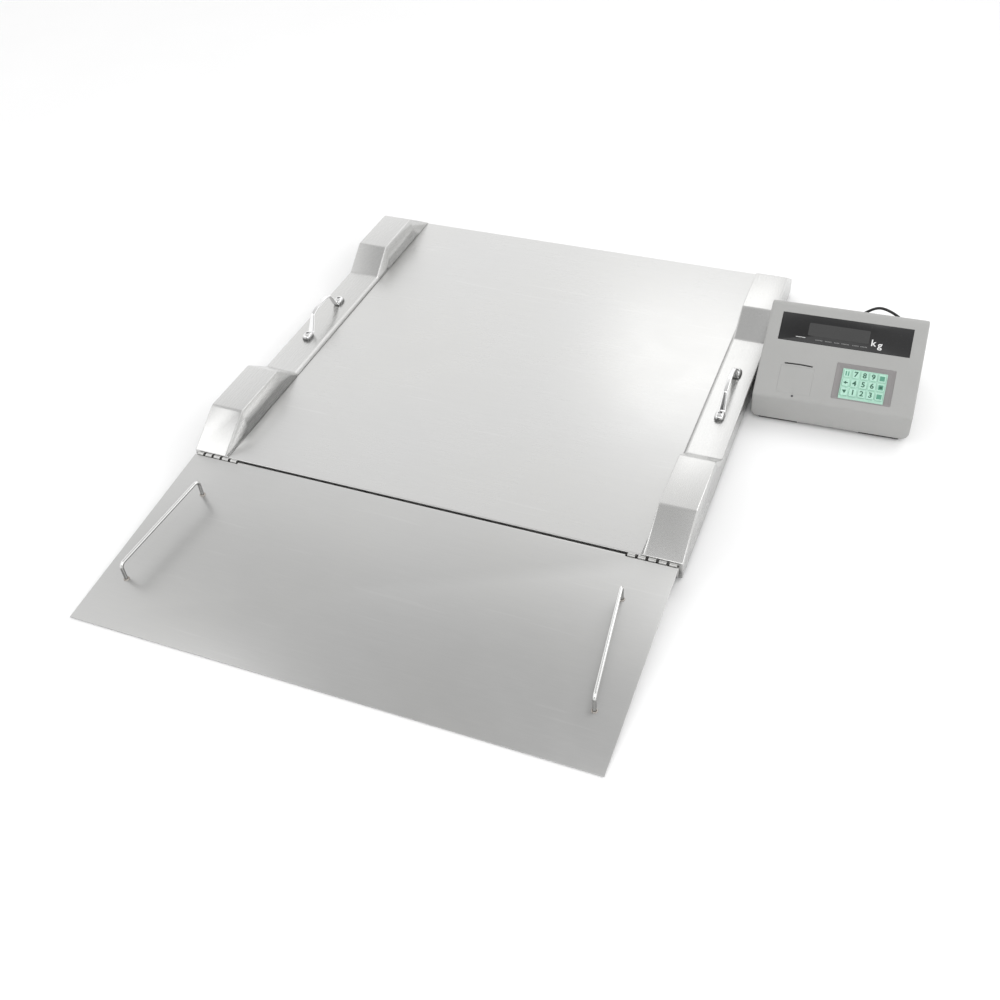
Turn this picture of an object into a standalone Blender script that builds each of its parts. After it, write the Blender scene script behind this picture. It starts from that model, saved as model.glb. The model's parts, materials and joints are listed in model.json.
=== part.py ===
"""Animal weighing scale, in metres, +Z up, ramp towards -Y.

A low walk-on platform stands on four load cells hidden in raised corner housings. A ramp as wide as
the platform is hinged to its front edge. A desktop indicator with a display, a keypad and a built-in
printer stands on the floor beside it, joined by a cable. The origin is on the floor, at the middle of
the whole set's footprint.
"""

import math

import bmesh
import bpy
from mathutils import Vector

GAP = 0.0003  # clearance between two pieces that touch on the real scale
SHEET = 0.002  # folded stainless sheet
WELD_OVERLAP = 0.001  # how far one welded bar sinks into the next
CUT_REACH = 0.010  # how far a cutter runs on past the wall it opens
SAME_PLACE = 0.000001

# Platform, measured from the middle of its width and from its front edge
HALF_WIDTH = 0.590
LENGTH = 1.145
DECK_TOP = 0.048
DECK_PLATE = 0.004
DECK_FLANGE_BOTTOM = 0.010
RAIL_TOP = 0.058
HOUSING_TOP = 0.111
RAIL_TOP_WIDTH = 0.083
RAIL_FOOT_WIDTH = 0.0905
WALL_BOTTOM = 0.008
SLOPE_END = 0.098  # end of a housing's outer slope
FLAT_END = 0.264  # end of its flat top
INNER_SLOPE_END = 0.336  # where its inner slope meets the low rail
SEAM_Z = DECK_TOP + GAP  # lower edge of a side cover's inner wall
DECK_HALF = HALF_WIDTH - RAIL_FOOT_WIDTH - GAP
DECK_TUCK = 0.0075  # how far the deck runs on below a side cover
TUCK_DROP = 0.0005  # step down of that hidden strip
SLOPE_ALLOWANCE = 1.2  # extra inset below a cover's top, where the sheet slopes
DECK_OPENING = (0.075, 0.110)  # strip of a cover's inner wall cut away for the deck, from its outer face

# Welded underframe
BEAM_INSET = 0.017
BEAM_WIDTH = 0.050
BEAM_BOTTOM = 0.014
BEAM_TOP = 0.0535
BEAM_START = 0.190
FRAME_TOP = DECK_TOP - DECK_PLATE - GAP
FRAME_WALL = 0.003
RIB_WIDTH = 0.040
RIB_YS = (0.285, LENGTH / 2, LENGTH - 0.285)
STRINGER_X = 0.250
STRINGER_SETBACK = 0.006  # from the platform's front and back edges
RIB_END = 0.010  # how far a rib runs in below a side beam
CABLE_HOLE_CLEARANCE = 0.002
CABLE_HOLE_REACH = 0.050

# Load cells and levelling feet
CELL_CENTRE_INSET = 0.042
CELL_START = 0.115
CELL_LENGTH = 0.130
CELL_SIDE = 0.032
CELL_BOTTOM = 0.062
CELL_SEAT = 0.050  # length of the beam's raised seat below a cell
GAUGE_SHIFT = 0.012  # of each round gauge hole from the cell's middle
GAUGE_RADIUS = 0.0095
GAUGE_SLOT = 0.003  # half the height of the slot between the two holes
GAUGE_REACH = 0.020
FOOT_FROM_END = 0.131
FOOT_STEM = 0.006
FOOT_BORE = 0.007
FOOT_PAD = 0.030
FOOT_TOP = 0.086
FOOT_PAD_EDGE = 0.007  # height of the pad's rim
FOOT_CUP = (0.012, 0.013)  # radius and height where the pad's cone ends
FOOT_NECK = 0.015
FOOT_NUT_RADIUS = 0.010
FOOT_NUT = (0.044, 0.052)  # its lower and upper face
FOOT_BORE_SPAN = (0.05, 0.11)

# Rail handles
HANDLE_Y = LENGTH / 2
HANDLE_INSET = RAIL_TOP_WIDTH / 2
CAP_SPACING = 0.176
CAP_SIZE = (0.024, 0.032, 0.013)
GRIP_WIDTH = 0.018
GRIP_THICK = 0.006
GRIP_SEAT = 0.004  # height of the grip's middle line in its caps, above the rail
GRIP_SHOULDER = 0.070
GRIP_CORNER = 0.047
GRIP_RISE = 0.046
GRIP_ARCH = 0.008
GRIP_EDGE = 0.0015
CAP_EDGE = 0.0045
CAP_POCKET_START = 0.0035  # from the cap's middle
CAP_POCKET_SETBACK = 0.004
CAP_POCKET_CLEARANCE = 0.0005
CAP_POCKET_TOP = 0.0075

# Ramp and its hinges
HINGE_Y = -0.0055
HINGE_Z = 0.045
RAMP_HALF = 0.5835
RAMP_REACH = 0.507
RAMP_TOP = 0.002  # ramp surface above the hinge axis
RAMP_UNDER = -0.001
RAMP_EDGE = -0.0015
LIP_GAP = 0.0002
RAMP_TILT = math.asin((HINGE_Z + RAMP_UNDER - LIP_GAP) / RAMP_REACH)
RIB_START = -0.050
RIB_THICK = 0.004
RIB_FLOOR_GAP = 0.003
RIB_STOP = 0.040  # from the ribs' ends to the ramp's lip
RIB_INSET = 0.012  # from the ramp's sides
CROSS_BARS = (0.006, 0.200)  # setback of each from the ribs' start
CROSS_BAR_RISE = 0.006  # above the ribs' lower edge
HINGE_INNER = 0.470
HINGE_OUTER = 0.582
HINGE_CLEARANCE = 0.001
HINGE_NOTCH = -0.0062  # back edge of the ramp plate beside its hinges
KNUCKLES = 5
HINGE_SIDES = 16
KNUCKLE_RADIUS = 0.005
PIN_RADIUS = 0.0024
PIN_BORE = 0.0025
LEAF = 0.002
PLATFORM_LEAF = (-0.034, -0.0056)  # lower and upper edge of its plate
PLATFORM_TONGUE = (-0.0066, -0.001)
RAMP_LEAF = (-0.044, -0.0060)  # front and back edge of its plate
RAMP_TONGUE = (-0.0070, -0.003)
RAMP_GRIP_ROD = 0.004
RAMP_GRIP_RISE = 0.044
RAMP_GRIP_LEAN = math.radians(2.5)  # towards the hinge
RAMP_GRIP_FAR = (HALF_WIDTH - 0.094, -0.116)
RAMP_GRIP_NEAR = (HALF_WIDTH - 0.065, -0.382)
RAMP_GRIP_BEND = 0.012

# Junction box and cables
BOX_LOW = (0.330, 0.640, 0.0125)
BOX_HIGH = (0.450, 0.720, 0.0405)
BOX_WALL = 0.0025
BOX_LID = 0.003
PORT_CLEARANCE = 0.001
BUNDLE_RADIUS = 0.004
BUNDLE_INSET = 0.025  # from the box's front wall
BUNDLE_Z = 0.0225
CABLE_RADIUS = 0.0025
CABLE_BEND = 0.006
RUN_OFFSET = 0.008  # of a side cable run from its beam
CELL_LEAD = 0.016  # how far a cable leaves its load cell before it turns
SIGNAL_RADIUS = 0.003
SIGNAL_START = (0.030, 0.006)  # from the box's right and back walls
SIGNAL_EXIT_Y = 0.905  # where the signal cable passes below the right side cover

# Indicator, measured from its front left corner on the floor
INDICATOR_X = 0.603
INDICATOR_Y = 0.5775
INDICATOR_YAW = math.radians(2.3)
CASE_WIDTH = 0.366
CASE_DEPTH = 0.276
CASE_BOTTOM = 0.009
FOLD_Z = 0.073  # top of the upright front band
PANEL_RISE = 0.121
PANEL_RUN = 0.215
CASE_TOP = FOLD_Z + PANEL_RISE
CASE_WALL = 0.003
CASE_RIDGE = 0.012  # flat strip behind the panel's top edge
CASE_SHOULDER = 0.154  # height where the back turns upright
CASE_CORNER = 0.018
CASE_EDGE = 0.005
CASE_FOLD = math.radians(25)  # an edge that turns more than this is rounded
PANEL_TILT = math.atan2(PANEL_RISE, PANEL_RUN)

# Places on the sloping panel: across from its left edge, up from the fold
WINDOW = (0.0305, 0.1515, 0.3345, 0.2255)
DISPLAY = (0.0970, 0.1720, 0.2385, 0.2055)
RECESS = (0.1780, 0.0210, 0.3120, 0.1130)
MAT = (0.1935, 0.0245, 0.2950, 0.1015)
DOOR = (0.0520, 0.0160, 0.1300, 0.0860)
SLOT = (0.0583, 0.0905, 0.1238, 0.0927)
LATCH = (0.0910, 0.0098)
WINDOW_THICK = 0.0026
DISPLAY_RIM = 0.008  # of the display module, round its visible field
DISPLAY_SPAN = (-0.016, -0.0036)  # its lower and upper face, below the panel
MAT_TOP = -0.0014
MAT_EDGE = 0.0004
LATCH_RADIUS = 0.0024
LATCH_DEPTH = 0.007
LATCH_RISE = 0.0006
PANEL_CUT = (-0.012, 0.010)  # below and above the panel
RECESS_FLOOR = -0.0035
RECESS_DEPTH = 0.006
RECESS_WALL = 0.0012
KEY_FIRST = (0.2046, 0.0883)
KEY_PITCH = (0.0198, 0.0232)
KEY_SIZE = (0.0160, 0.0188)
KEY_HALF = 0.0008  # half a key's thickness
KEY_EDGE = 0.0005
KEY_NAMES = (
    ("key_print", "key_seven", "key_eight", "key_nine", "key_tare"),
    ("key_total", "key_four", "key_five", "key_six", "key_zero_set"),
    ("key_clear", "key_one", "key_two", "key_three", "key_enter"),
)
ROLL_CENTRE = (0.0910, 0.0480, -0.0290)
ROLL_RADIUS = 0.0190
ROLL_LENGTH = 0.0570
SPINDLE_RADIUS = 0.0040
SPINDLE_END = 0.0035  # how far the spindle stands out of the roll
DOOR_THICK = 0.0026
HEAD_SPAN = (0.028, 0.052)  # print head block, up the panel from the roll's axis
HEAD_DEPTH = (-0.048, -0.008)
HEAD_MARGIN = 0.006
CHEEK = (0.001, 0.004)  # inner and outer face, from the roll's end
CHEEK_SPAN = (-0.016, 0.030)
CHEEK_DEPTH = (-0.046, -0.012)
THROAT_HALF = 0.001
THROAT_DEPTH = 0.030
BASE_MARGIN = 0.002
FOOT_STRIP = 0.092
FOOT_SETBACK = 0.010
BOARD_LOW = (0.150, 0.060, 0.020)
BOARD_HIGH = (0.340, 0.200, 0.0216)
PLUG = (0.200, 0.118)
PLUG_RADIUS = 0.009
PLUG_LENGTH = 0.014
CABLE_BEHIND = 0.022  # how far behind the indicator the signal cable hangs
CABLE_LOOP = (  # across from the indicator's left side, back from where the cable hangs, up
    (0.345, 0.008, 0.0093),
    (0.352, 0, 0.040),
    (0.334, 0, 0.100),
    (0.3006, 0, 0.1418),
    (0.2525, 0, 0.1614),
    (0.2175, 0, 0.1427),
    (0.202, -0.001, 0.124),
)
SWITCH = (0.310, 0.060)
SWITCH_SIZE = (0.013, 0.020)
SWITCH_TILT = math.radians(6)
SWITCH_CLEARANCE = 0.0008
SWITCH_SINK = 0.0035  # of the rocker's axis below the back wall's face
ROCKER_FACE = (0.0050, 0.0030)  # how far the rocker's ends and middle stand out
ROCKER_BACK = 0.003

# The platform's middle front edge, seen from the middle of the set's footprint
RIGHT_END = INDICATOR_X + CASE_WIDTH * math.cos(INDICATOR_YAW)
FRONT_END = HINGE_Y - RAMP_REACH * math.cos(RAMP_TILT)
ORIGIN_X = -(RIGHT_END - HALF_WIDTH) / 2
ORIGIN_Y = -(FRONT_END + LENGTH) / 2


# ---- modelling tools


def clear_scene():
    for obj in list(bpy.data.objects):
        bpy.data.objects.remove(obj)


def material(name, colour, roughness, metallic):
    mat = bpy.data.materials.new(name)
    mat.use_nodes = True
    shader = mat.node_tree.nodes["Principled BSDF"]
    shader.inputs["Base Color"].default_value = (*colour, 1.0)
    shader.inputs["Roughness"].default_value = roughness
    shader.inputs["Metallic"].default_value = metallic
    return mat


def empty(name, parent=None, location=(0, 0, 0), rotation=(0, 0, 0)):
    obj = bpy.data.objects.new(name, None)
    bpy.context.scene.collection.objects.link(obj)
    obj.parent = parent
    obj.location = location
    obj.rotation_euler = rotation
    return obj


def finish_mesh(name, bm):
    bmesh.ops.recalc_face_normals(bm, faces=bm.faces)
    mesh = bpy.data.meshes.new(name)
    bm.to_mesh(mesh)
    bm.free()
    mesh.shade_smooth()
    mesh.set_sharp_from_angle(angle=math.radians(35))
    return mesh


def place(name, bm, mat, parent, location=(0, 0, 0), rotation=(0, 0, 0)):
    obj = bpy.data.objects.new(name, finish_mesh(name, bm))
    bpy.context.scene.collection.objects.link(obj)
    obj.parent = parent
    obj.location = location
    obj.rotation_euler = rotation
    if mat:
        obj.data.materials.append(mat)
    return obj


def combine(obj, label, bm, operation):
    """Joins a helper shape to obj, or cuts it away. The helper stays in the file, drawn as wire."""
    helper = place(f"{obj.name}_{label}", bm, None, obj.parent, obj.location, obj.rotation_euler)
    helper.hide_render = True
    helper.display_type = "WIRE"
    step = obj.modifiers.new(label, "BOOLEAN")
    step.operation = operation
    step.solver = "EXACT"
    step.object = helper
    return helper


def cut(obj, label, bm):
    return combine(obj, label, bm, "DIFFERENCE")


def join(obj, label, bm):
    return combine(obj, label, bm, "UNION")


def bevel(obj, width, segments=2, angle=40):
    step = obj.modifiers.new("edges", "BEVEL")
    step.width = width
    step.segments = segments
    step.limit_method = "ANGLE"
    step.angle_limit = math.radians(angle)
    step.use_clamp_overlap = True
    return step


def add_box(bm, low, high):
    ring = [bm.verts.new((x, y, low[2])) for x, y in rectangle(low[0], low[1], high[0], high[1])]
    base = bm.faces.new(ring)
    grown = bmesh.ops.extrude_face_region(bm, geom=[base])["geom"]
    verts = [v for v in grown if isinstance(v, bmesh.types.BMVert)]
    bmesh.ops.translate(bm, verts=verts, vec=(0, 0, high[2] - low[2]))


def rectangle(x0, y0, x1, y1):
    return [(x0, y0), (x1, y0), (x1, y1), (x0, y1)]


def add_prism_x(bm, outline, x0, x1):
    """A (y, z) outline drawn out along X."""
    base = bm.faces.new([bm.verts.new((x0, y, z)) for y, z in outline])
    grown = bmesh.ops.extrude_face_region(bm, geom=[base])["geom"]
    verts = [v for v in grown if isinstance(v, bmesh.types.BMVert)]
    bmesh.ops.translate(bm, verts=verts, vec=(x1 - x0, 0, 0))


def add_rod(bm, start, end, radius, segments=24):
    start = Vector(start)
    along = Vector(end) - start
    turn = along.to_track_quat("Z", "Y").to_matrix().to_4x4()
    turn.translation = start + along / 2
    bmesh.ops.create_cone(
        bm,
        cap_ends=True,
        segments=segments,
        radius1=radius,
        radius2=radius,
        depth=along.length,
        matrix=turn,
    )


def add_turned(bm, profile, segments=24):
    """A closed (radius, height) profile turned about Z; its first and last points are on the axis."""
    points = [bm.verts.new((r, 0, z)) for r, z in profile]
    edges = [bm.edges.new(pair) for pair in zip(points, points[1:])]
    bmesh.ops.spin(
        bm,
        geom=points + edges,
        axis=(0, 0, 1),
        cent=(0, 0, 0),
        steps=segments,
        angle=2 * math.pi,
        use_merge=True,
    )
    bmesh.ops.remove_doubles(bm, verts=bm.verts, dist=0.00001)


def rounded_path(points, radius, steps=4):
    """A polyline whose inner corners are replaced by arcs."""
    points = [Vector(p) for p in points]
    path = [points[0]]
    for before, corner, after in zip(points, points[1:], points[2:]):
        back = (before - corner).normalized()
        ahead = (after - corner).normalized()
        half = back.angle(ahead) / 2
        reach = radius / math.tan(half)
        centre = corner + (back + ahead).normalized() * radius / math.sin(half)
        first = corner + back * reach - centre
        last = corner + ahead * reach - centre
        sweep = math.pi - 2 * half
        for i in range(steps + 1):
            turned = sweep * i / steps
            spoke = first * math.sin(sweep - turned) + last * math.sin(turned)
            path.append(centre + spoke / math.sin(sweep))
    return path + [points[-1]]


def add_tube(bm, path, radius, sides=10):
    """A round rod swept along a path, with flat ends."""
    path = [Vector(p) for p in path]
    tangents = [
        (path[min(i + 1, len(path) - 1)] - path[max(i - 1, 0)]).normalized() for i in range(len(path))
    ]
    across = tangents[0].orthogonal().normalized()
    rings = []
    for i, (point, tangent) in enumerate(zip(path, tangents)):
        if i:
            across = tangents[i - 1].rotation_difference(tangent) @ across
        other = tangent.cross(across)
        ring = []
        for k in range(sides):
            turn = 2 * math.pi * k / sides
            ring.append(bm.verts.new(point + (across * math.cos(turn) + other * math.sin(turn)) * radius))
        rings.append(ring)
    for near, far in zip(rings, rings[1:]):
        for k in range(sides):
            m = (k + 1) % sides
            bm.faces.new((near[k], near[m], far[m], far[k]))
    bm.faces.new(rings[0])
    bm.faces.new(rings[-1])


def tube(name, path, radius, mat, parent, sides=10):
    rod = bmesh.new()
    add_tube(rod, path, radius, sides)
    return place(name, rod, mat, parent)


# ---- platform


def cover_height(y):
    """Height of a side cover at distance y from the platform's front edge."""
    distance = min(y, LENGTH - y)
    if distance < SLOPE_END:
        return SEAM_Z + (HOUSING_TOP - SEAM_Z) * distance / SLOPE_END
    if distance < FLAT_END:
        return HOUSING_TOP
    if distance < INNER_SLOPE_END:
        drop = (distance - FLAT_END) / (INNER_SLOPE_END - FLAT_END)
        return HOUSING_TOP + (RAIL_TOP - HOUSING_TOP) * drop
    return RAIL_TOP


def add_cover_body(bm, side, ends, inset, bottom):
    """The solid below a side cover's skin, inset from it by the given thickness."""
    bends = (SLOPE_END, FLAT_END, INNER_SLOPE_END)
    stations = [ends, *bends, *(LENGTH - b for b in reversed(bends)), LENGTH - ends]
    rings = []
    for y in stations:
        top = cover_height(y) - inset * SLOPE_ALLOWANCE
        section = [
            (inset, bottom),
            (inset, top),
            (RAIL_TOP_WIDTH - inset, top),
            (RAIL_FOOT_WIDTH - inset, min(SEAM_Z, top)),
            (RAIL_FOOT_WIDTH - inset, bottom),
        ]
        rings.append([bm.verts.new((side * (HALF_WIDTH - d), y, z)) for d, z in section])
    for near, far in zip(rings, rings[1:]):
        for i in range(len(near)):
            j = (i + 1) % len(near)
            bm.faces.new((near[i], near[j], far[j], far[i]))
    bm.faces.new(rings[0])
    bm.faces.new(rings[-1])


def side_cover(name, side, mat, parent):
    """A folded stainless cover: low rail in the middle, a load cell housing at each end."""
    skin = bmesh.new()
    add_cover_body(skin, side, 0, 0, WALL_BOTTOM)
    cover = place(name, skin, mat, parent)
    hollow = bmesh.new()
    add_cover_body(hollow, side, SHEET, SHEET, -CUT_REACH)
    cut(cover, "hollow", hollow)
    opening = bmesh.new()
    xs = sorted(side * (HALF_WIDTH - inset) for inset in DECK_OPENING)
    add_box(opening, (xs[0], SHEET, -2 * CUT_REACH), (xs[1], LENGTH - SHEET, SEAM_Z))
    cut(cover, "deck_side", opening)
    return cover


def deck_plate(mat, parent):
    """Walking surface with turned-down front and back edges."""
    sheet = bmesh.new()
    section = [
        (0, DECK_FLANGE_BOTTOM),
        (0, DECK_TOP),
        (LENGTH, DECK_TOP),
        (LENGTH, DECK_FLANGE_BOTTOM),
        (LENGTH - SHEET, DECK_FLANGE_BOTTOM),
        (LENGTH - SHEET, DECK_TOP - DECK_PLATE),
        (SHEET, DECK_TOP - DECK_PLATE),
        (SHEET, DECK_FLANGE_BOTTOM),
    ]
    add_prism_x(sheet, section, -DECK_HALF, DECK_HALF)
    deck = place("deck_plate", sheet, mat, parent)
    tuck = bmesh.new()
    reach = DECK_HALF + DECK_TUCK
    margin = SHEET + GAP
    bottom = DECK_TOP - DECK_PLATE
    add_box(tuck, (-reach, margin, bottom), (reach, LENGTH - margin, DECK_TOP - TUCK_DROP))
    join(deck, "tuck", tuck)
    return deck


def frame_bars():
    """Low and high corners of the underframe's bars, seen from above."""
    inner = HALF_WIDTH - BEAM_INSET - BEAM_WIDTH
    outer = HALF_WIDTH - BEAM_INSET
    beams = [
        (min(s * inner, s * outer), BEAM_START, max(s * inner, s * outer), LENGTH - BEAM_START)
        for s in (-1, 1)
    ]
    half = RIB_WIDTH / 2
    ribs = [(-inner - RIB_END, y - half, inner + RIB_END, y + half) for y in RIB_YS]
    stringers = [
        (s * STRINGER_X - half, STRINGER_SETBACK, s * STRINGER_X + half, LENGTH - STRINGER_SETBACK)
        for s in (-1, 1)
    ]
    return beams, ribs, stringers


def underframe(mat, parent):
    """Two side beams, three cross ribs and two stringers: folded channels, open below, welded up."""
    beams, ribs, stringers = frame_bars()
    solid = bmesh.new()
    for x0, y0, x1, y1 in beams:
        add_box(solid, (x0, y0, BEAM_BOTTOM), (x1, y1, BEAM_TOP))
    frame = place("underframe", solid, mat, parent)
    for label, bars in (("ribs", ribs), ("stringers", stringers)):
        more = bmesh.new()
        for x0, y0, x1, y1 in bars:
            add_box(more, (x0, y0, BEAM_BOTTOM), (x1, y1, FRAME_TOP))
        join(frame, label, more)
    seats = bmesh.new()
    for side in (-1, 1):
        x = side * (HALF_WIDTH - CELL_CENTRE_INSET)
        for end in (CELL_START + CELL_LENGTH - CELL_SEAT, LENGTH - CELL_START - CELL_LENGTH):
            low = (x - CELL_SIDE / 2, end, BEAM_TOP - WELD_OVERLAP)
            add_box(seats, low, (x + CELL_SIDE / 2, end + CELL_SEAT, CELL_BOTTOM - GAP))
    join(frame, "seats", seats)
    w = FRAME_WALL
    for label, bars, top in (
        ("beam_hollow", beams, BEAM_TOP),
        ("rib_hollow", ribs, FRAME_TOP),
        ("stringer_hollow", stringers, FRAME_TOP),
    ):
        hollow = bmesh.new()
        for x0, y0, x1, y1 in bars:
            add_box(hollow, (x0 + w, y0 + w, 0), (x1 - w, y1 - w, top - w))
        cut(frame, label, hollow)
    holes = bmesh.new()
    y, z = bundle_line()
    reach = STRINGER_X + CABLE_HOLE_REACH
    add_rod(holes, (-reach, y, z), (reach, y, z), BUNDLE_RADIUS + CABLE_HOLE_CLEARANCE, 10)
    for side in (-1, 1):
        x = side * run_x()
        start = (x, RIB_YS[0] - CABLE_HOLE_REACH, z)
        stop = (x, RIB_YS[-1] + CABLE_HOLE_REACH, z)
        add_rod(holes, start, stop, CABLE_RADIUS + CABLE_HOLE_CLEARANCE, 10)
    cut(frame, "cable_holes", holes)
    return frame


def corner_places():
    """Name and sign pair of each corner: side, then 0 for the front end and 1 for the back."""
    return (("front_left", -1, 0), ("front_right", 1, 0), ("back_left", -1, 1), ("back_right", 1, 1))


def from_end(distance, end):
    return LENGTH - distance if end else distance


def load_cell(corner, side, end, mat, parent):
    """Bending beam load cell: free end on the levelling foot, fixed end on the side beam's seat."""
    x = side * (HALF_WIDTH - CELL_CENTRE_INSET)
    ys = sorted((from_end(CELL_START, end), from_end(CELL_START + CELL_LENGTH, end)))
    half = CELL_SIDE / 2
    block = bmesh.new()
    add_box(block, (x - half, ys[0], CELL_BOTTOM), (x + half, ys[1], CELL_BOTTOM + CELL_SIDE))
    cell = place(f"load_cell_{corner}", block, mat, parent)
    middle = sum(ys) / 2
    mid_z = CELL_BOTTOM + half
    gauge = bmesh.new()
    for y in (middle - GAUGE_SHIFT, middle + GAUGE_SHIFT):
        add_rod(gauge, (x - GAUGE_REACH, y, mid_z), (x + GAUGE_REACH, y, mid_z), GAUGE_RADIUS, 14)
    cut(cell, "gauge_holes", gauge)
    slot = bmesh.new()
    low = (x - GAUGE_REACH, middle - GAUGE_SHIFT, mid_z - GAUGE_SLOT)
    add_box(slot, low, (x + GAUGE_REACH, middle + GAUGE_SHIFT, mid_z + GAUGE_SLOT))
    cut(cell, "gauge_slot", slot)
    foot_y = from_end(FOOT_FROM_END, end)
    bore = bmesh.new()
    add_rod(bore, (x, foot_y, FOOT_BORE_SPAN[0]), (x, foot_y, FOOT_BORE_SPAN[1]), FOOT_BORE, 16)
    cut(cell, "foot_bore", bore)
    return cell


def levelling_foot(corner, side, end, mat, parent):
    """Threaded stem with a lock nut collar and a swivelled pad, turned in one."""
    pad_chamfer = 0.002
    stem_chamfer = 0.001
    profile = [
        (0, 0),
        (FOOT_PAD - pad_chamfer, 0),
        (FOOT_PAD, pad_chamfer),
        (FOOT_PAD, FOOT_PAD_EDGE),
        FOOT_CUP,
        (FOOT_STEM, FOOT_NECK),
        (FOOT_STEM, FOOT_NUT[0]),
        (FOOT_NUT_RADIUS, FOOT_NUT[0]),
        (FOOT_NUT_RADIUS, FOOT_NUT[1]),
        (FOOT_STEM, FOOT_NUT[1]),
        (FOOT_STEM, FOOT_TOP - stem_chamfer),
        (FOOT_STEM - stem_chamfer, FOOT_TOP),
        (0, FOOT_TOP),
    ]
    turned = bmesh.new()
    add_turned(turned, profile, 20)
    at = (side * (HALF_WIDTH - CELL_CENTRE_INSET), from_end(FOOT_FROM_END, end), 0)
    return place(f"levelling_foot_{corner}", turned, mat, parent, at)


def grip_outline():
    """Side view of a rail handle's grip: flat ends, steep shoulders and a gently arched top."""
    end = CAP_SPACING / 2 - CAP_POCKET_SETBACK
    line = [Vector((-end, GRIP_SEAT)), Vector((-GRIP_SHOULDER, GRIP_SEAT))]
    steps = 8
    for i in range(steps + 1):
        y = GRIP_CORNER * (2 * i / steps - 1)
        arch = GRIP_ARCH * (1 - (y / GRIP_CORNER) ** 2)
        line.append(Vector((y, GRIP_RISE + arch)))
    line += [Vector((GRIP_SHOULDER, GRIP_SEAT)), Vector((end, GRIP_SEAT))]
    outer = []
    inner = []
    for i, point in enumerate(line):
        ahead = (line[min(i + 1, len(line) - 1)] - point).normalized()
        behind = (point - line[max(i - 1, 0)]).normalized()
        tangent = (ahead + behind).normalized()
        bend = tangent.dot(ahead if ahead.length > 0 else behind)
        normal = Vector((-tangent.y, tangent.x)) * GRIP_THICK / 2 / bend
        outer.append(point + normal)
        inner.append(point - normal)
    return [tuple(p) for p in outer + inner[::-1]]


def rail_handle(name, side, mat, parent):
    at = (side * (HALF_WIDTH - HANDLE_INSET), HANDLE_Y, RAIL_TOP)
    strip = bmesh.new()
    add_prism_x(strip, grip_outline(), -GRIP_WIDTH / 2, GRIP_WIDTH / 2)
    grip = place(name, strip, mat, parent, at)
    bevel(grip, GRIP_EDGE, 2, 40)
    return grip


def handle_cap(name, side, end, mat, parent):
    """Domed end cap, hollowed where it clamps the grip's end."""
    w, l, h = CAP_SIZE
    y = HANDLE_Y + end * CAP_SPACING / 2
    at = (side * (HALF_WIDTH - HANDLE_INSET), y, RAIL_TOP + GAP * 2)
    dome = bmesh.new()
    add_box(dome, (-w / 2, -l / 2, 0), (w / 2, l / 2, h))
    cap = place(name, dome, mat, parent, at)
    bevel(cap, CAP_EDGE, 3, 40)
    pocket = bmesh.new()
    ys = sorted((-end * (l / 2 + CUT_REACH), -end * CAP_POCKET_START))
    half = GRIP_WIDTH / 2 + CAP_POCKET_CLEARANCE
    add_box(pocket, (-half, ys[0], -CUT_REACH), (half, ys[1], CAP_POCKET_TOP))
    cut(cap, "pocket", pocket)
    return cap


# ---- ramp, in a frame whose X axis is the hinge pin and whose XY plane is the ramp


def ramp(mat, parent):
    """Walk-up plate with tapering ribs welded below it."""
    half = HINGE_INNER - HINGE_CLEARANCE
    notch = HINGE_NOTCH
    outline = [
        (-RAMP_HALF, -RAMP_REACH),
        (RAMP_HALF, -RAMP_REACH),
        (RAMP_HALF, notch),
        (half, notch),
        (half, RAMP_EDGE),
        (-half, RAMP_EDGE),
        (-half, notch),
        (-RAMP_HALF, notch),
    ]
    sheet = bmesh.new()
    base = sheet.faces.new([sheet.verts.new((x, y, RAMP_UNDER)) for x, y in outline])
    grown = bmesh.ops.extrude_face_region(sheet, geom=[base])["geom"]
    verts = [v for v in grown if isinstance(v, bmesh.types.BMVert)]
    bmesh.ops.translate(sheet, verts=verts, vec=(0, 0, RAMP_TOP - RAMP_UNDER))
    plate = place("ramp_plate", sheet, mat, parent)
    ribs = bmesh.new()
    sink = RAMP_UNDER + WELD_OVERLAP
    start_depth = ramp_depth(RIB_START)
    end = -RAMP_REACH + RIB_STOP
    section = [(RIB_START, sink), (RIB_START, start_depth), (end, ramp_depth(end)), (end, sink)]
    for i in range(-2, 3):
        x = i * (RAMP_HALF - RIB_INSET) / 2
        add_prism_x(ribs, section, x - RIB_THICK / 2, x + RIB_THICK / 2)
    join(plate, "ribs", ribs)
    bars = bmesh.new()
    reach = RAMP_HALF - RIB_INSET + WELD_OVERLAP
    for setback in CROSS_BARS:
        y = RIB_START - setback
        low = (-reach, y - RIB_THICK, ramp_depth(y) + CROSS_BAR_RISE)
        add_box(bars, low, (reach, y, sink))
    join(plate, "cross_bars", bars)
    return plate


def ramp_depth(y):
    """Height of the ribs' lower edge in the ramp's frame, just above the floor."""
    return -(HINGE_Z - RIB_FLOOR_GAP + y * math.sin(RAMP_TILT)) / math.cos(RAMP_TILT)


def ramp_handle(name, side, mat, parent):
    """Bent round rod welded upright on the ramp."""
    lean = Vector((0, math.sin(RAMP_GRIP_LEAN), math.cos(RAMP_GRIP_LEAN))) * RAMP_GRIP_RISE
    foot_z = RAMP_TOP + GAP + RAMP_GRIP_ROD * math.sin(RAMP_GRIP_LEAN)
    far = Vector((side * RAMP_GRIP_FAR[0], RAMP_GRIP_FAR[1], foot_z))
    near = Vector((side * RAMP_GRIP_NEAR[0], RAMP_GRIP_NEAR[1], foot_z))
    path = rounded_path([far, far + lean, near + lean, near], RAMP_GRIP_BEND)
    return tube(name, path, RAMP_GRIP_ROD, mat, parent, 12)


# ---- hinges


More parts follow.
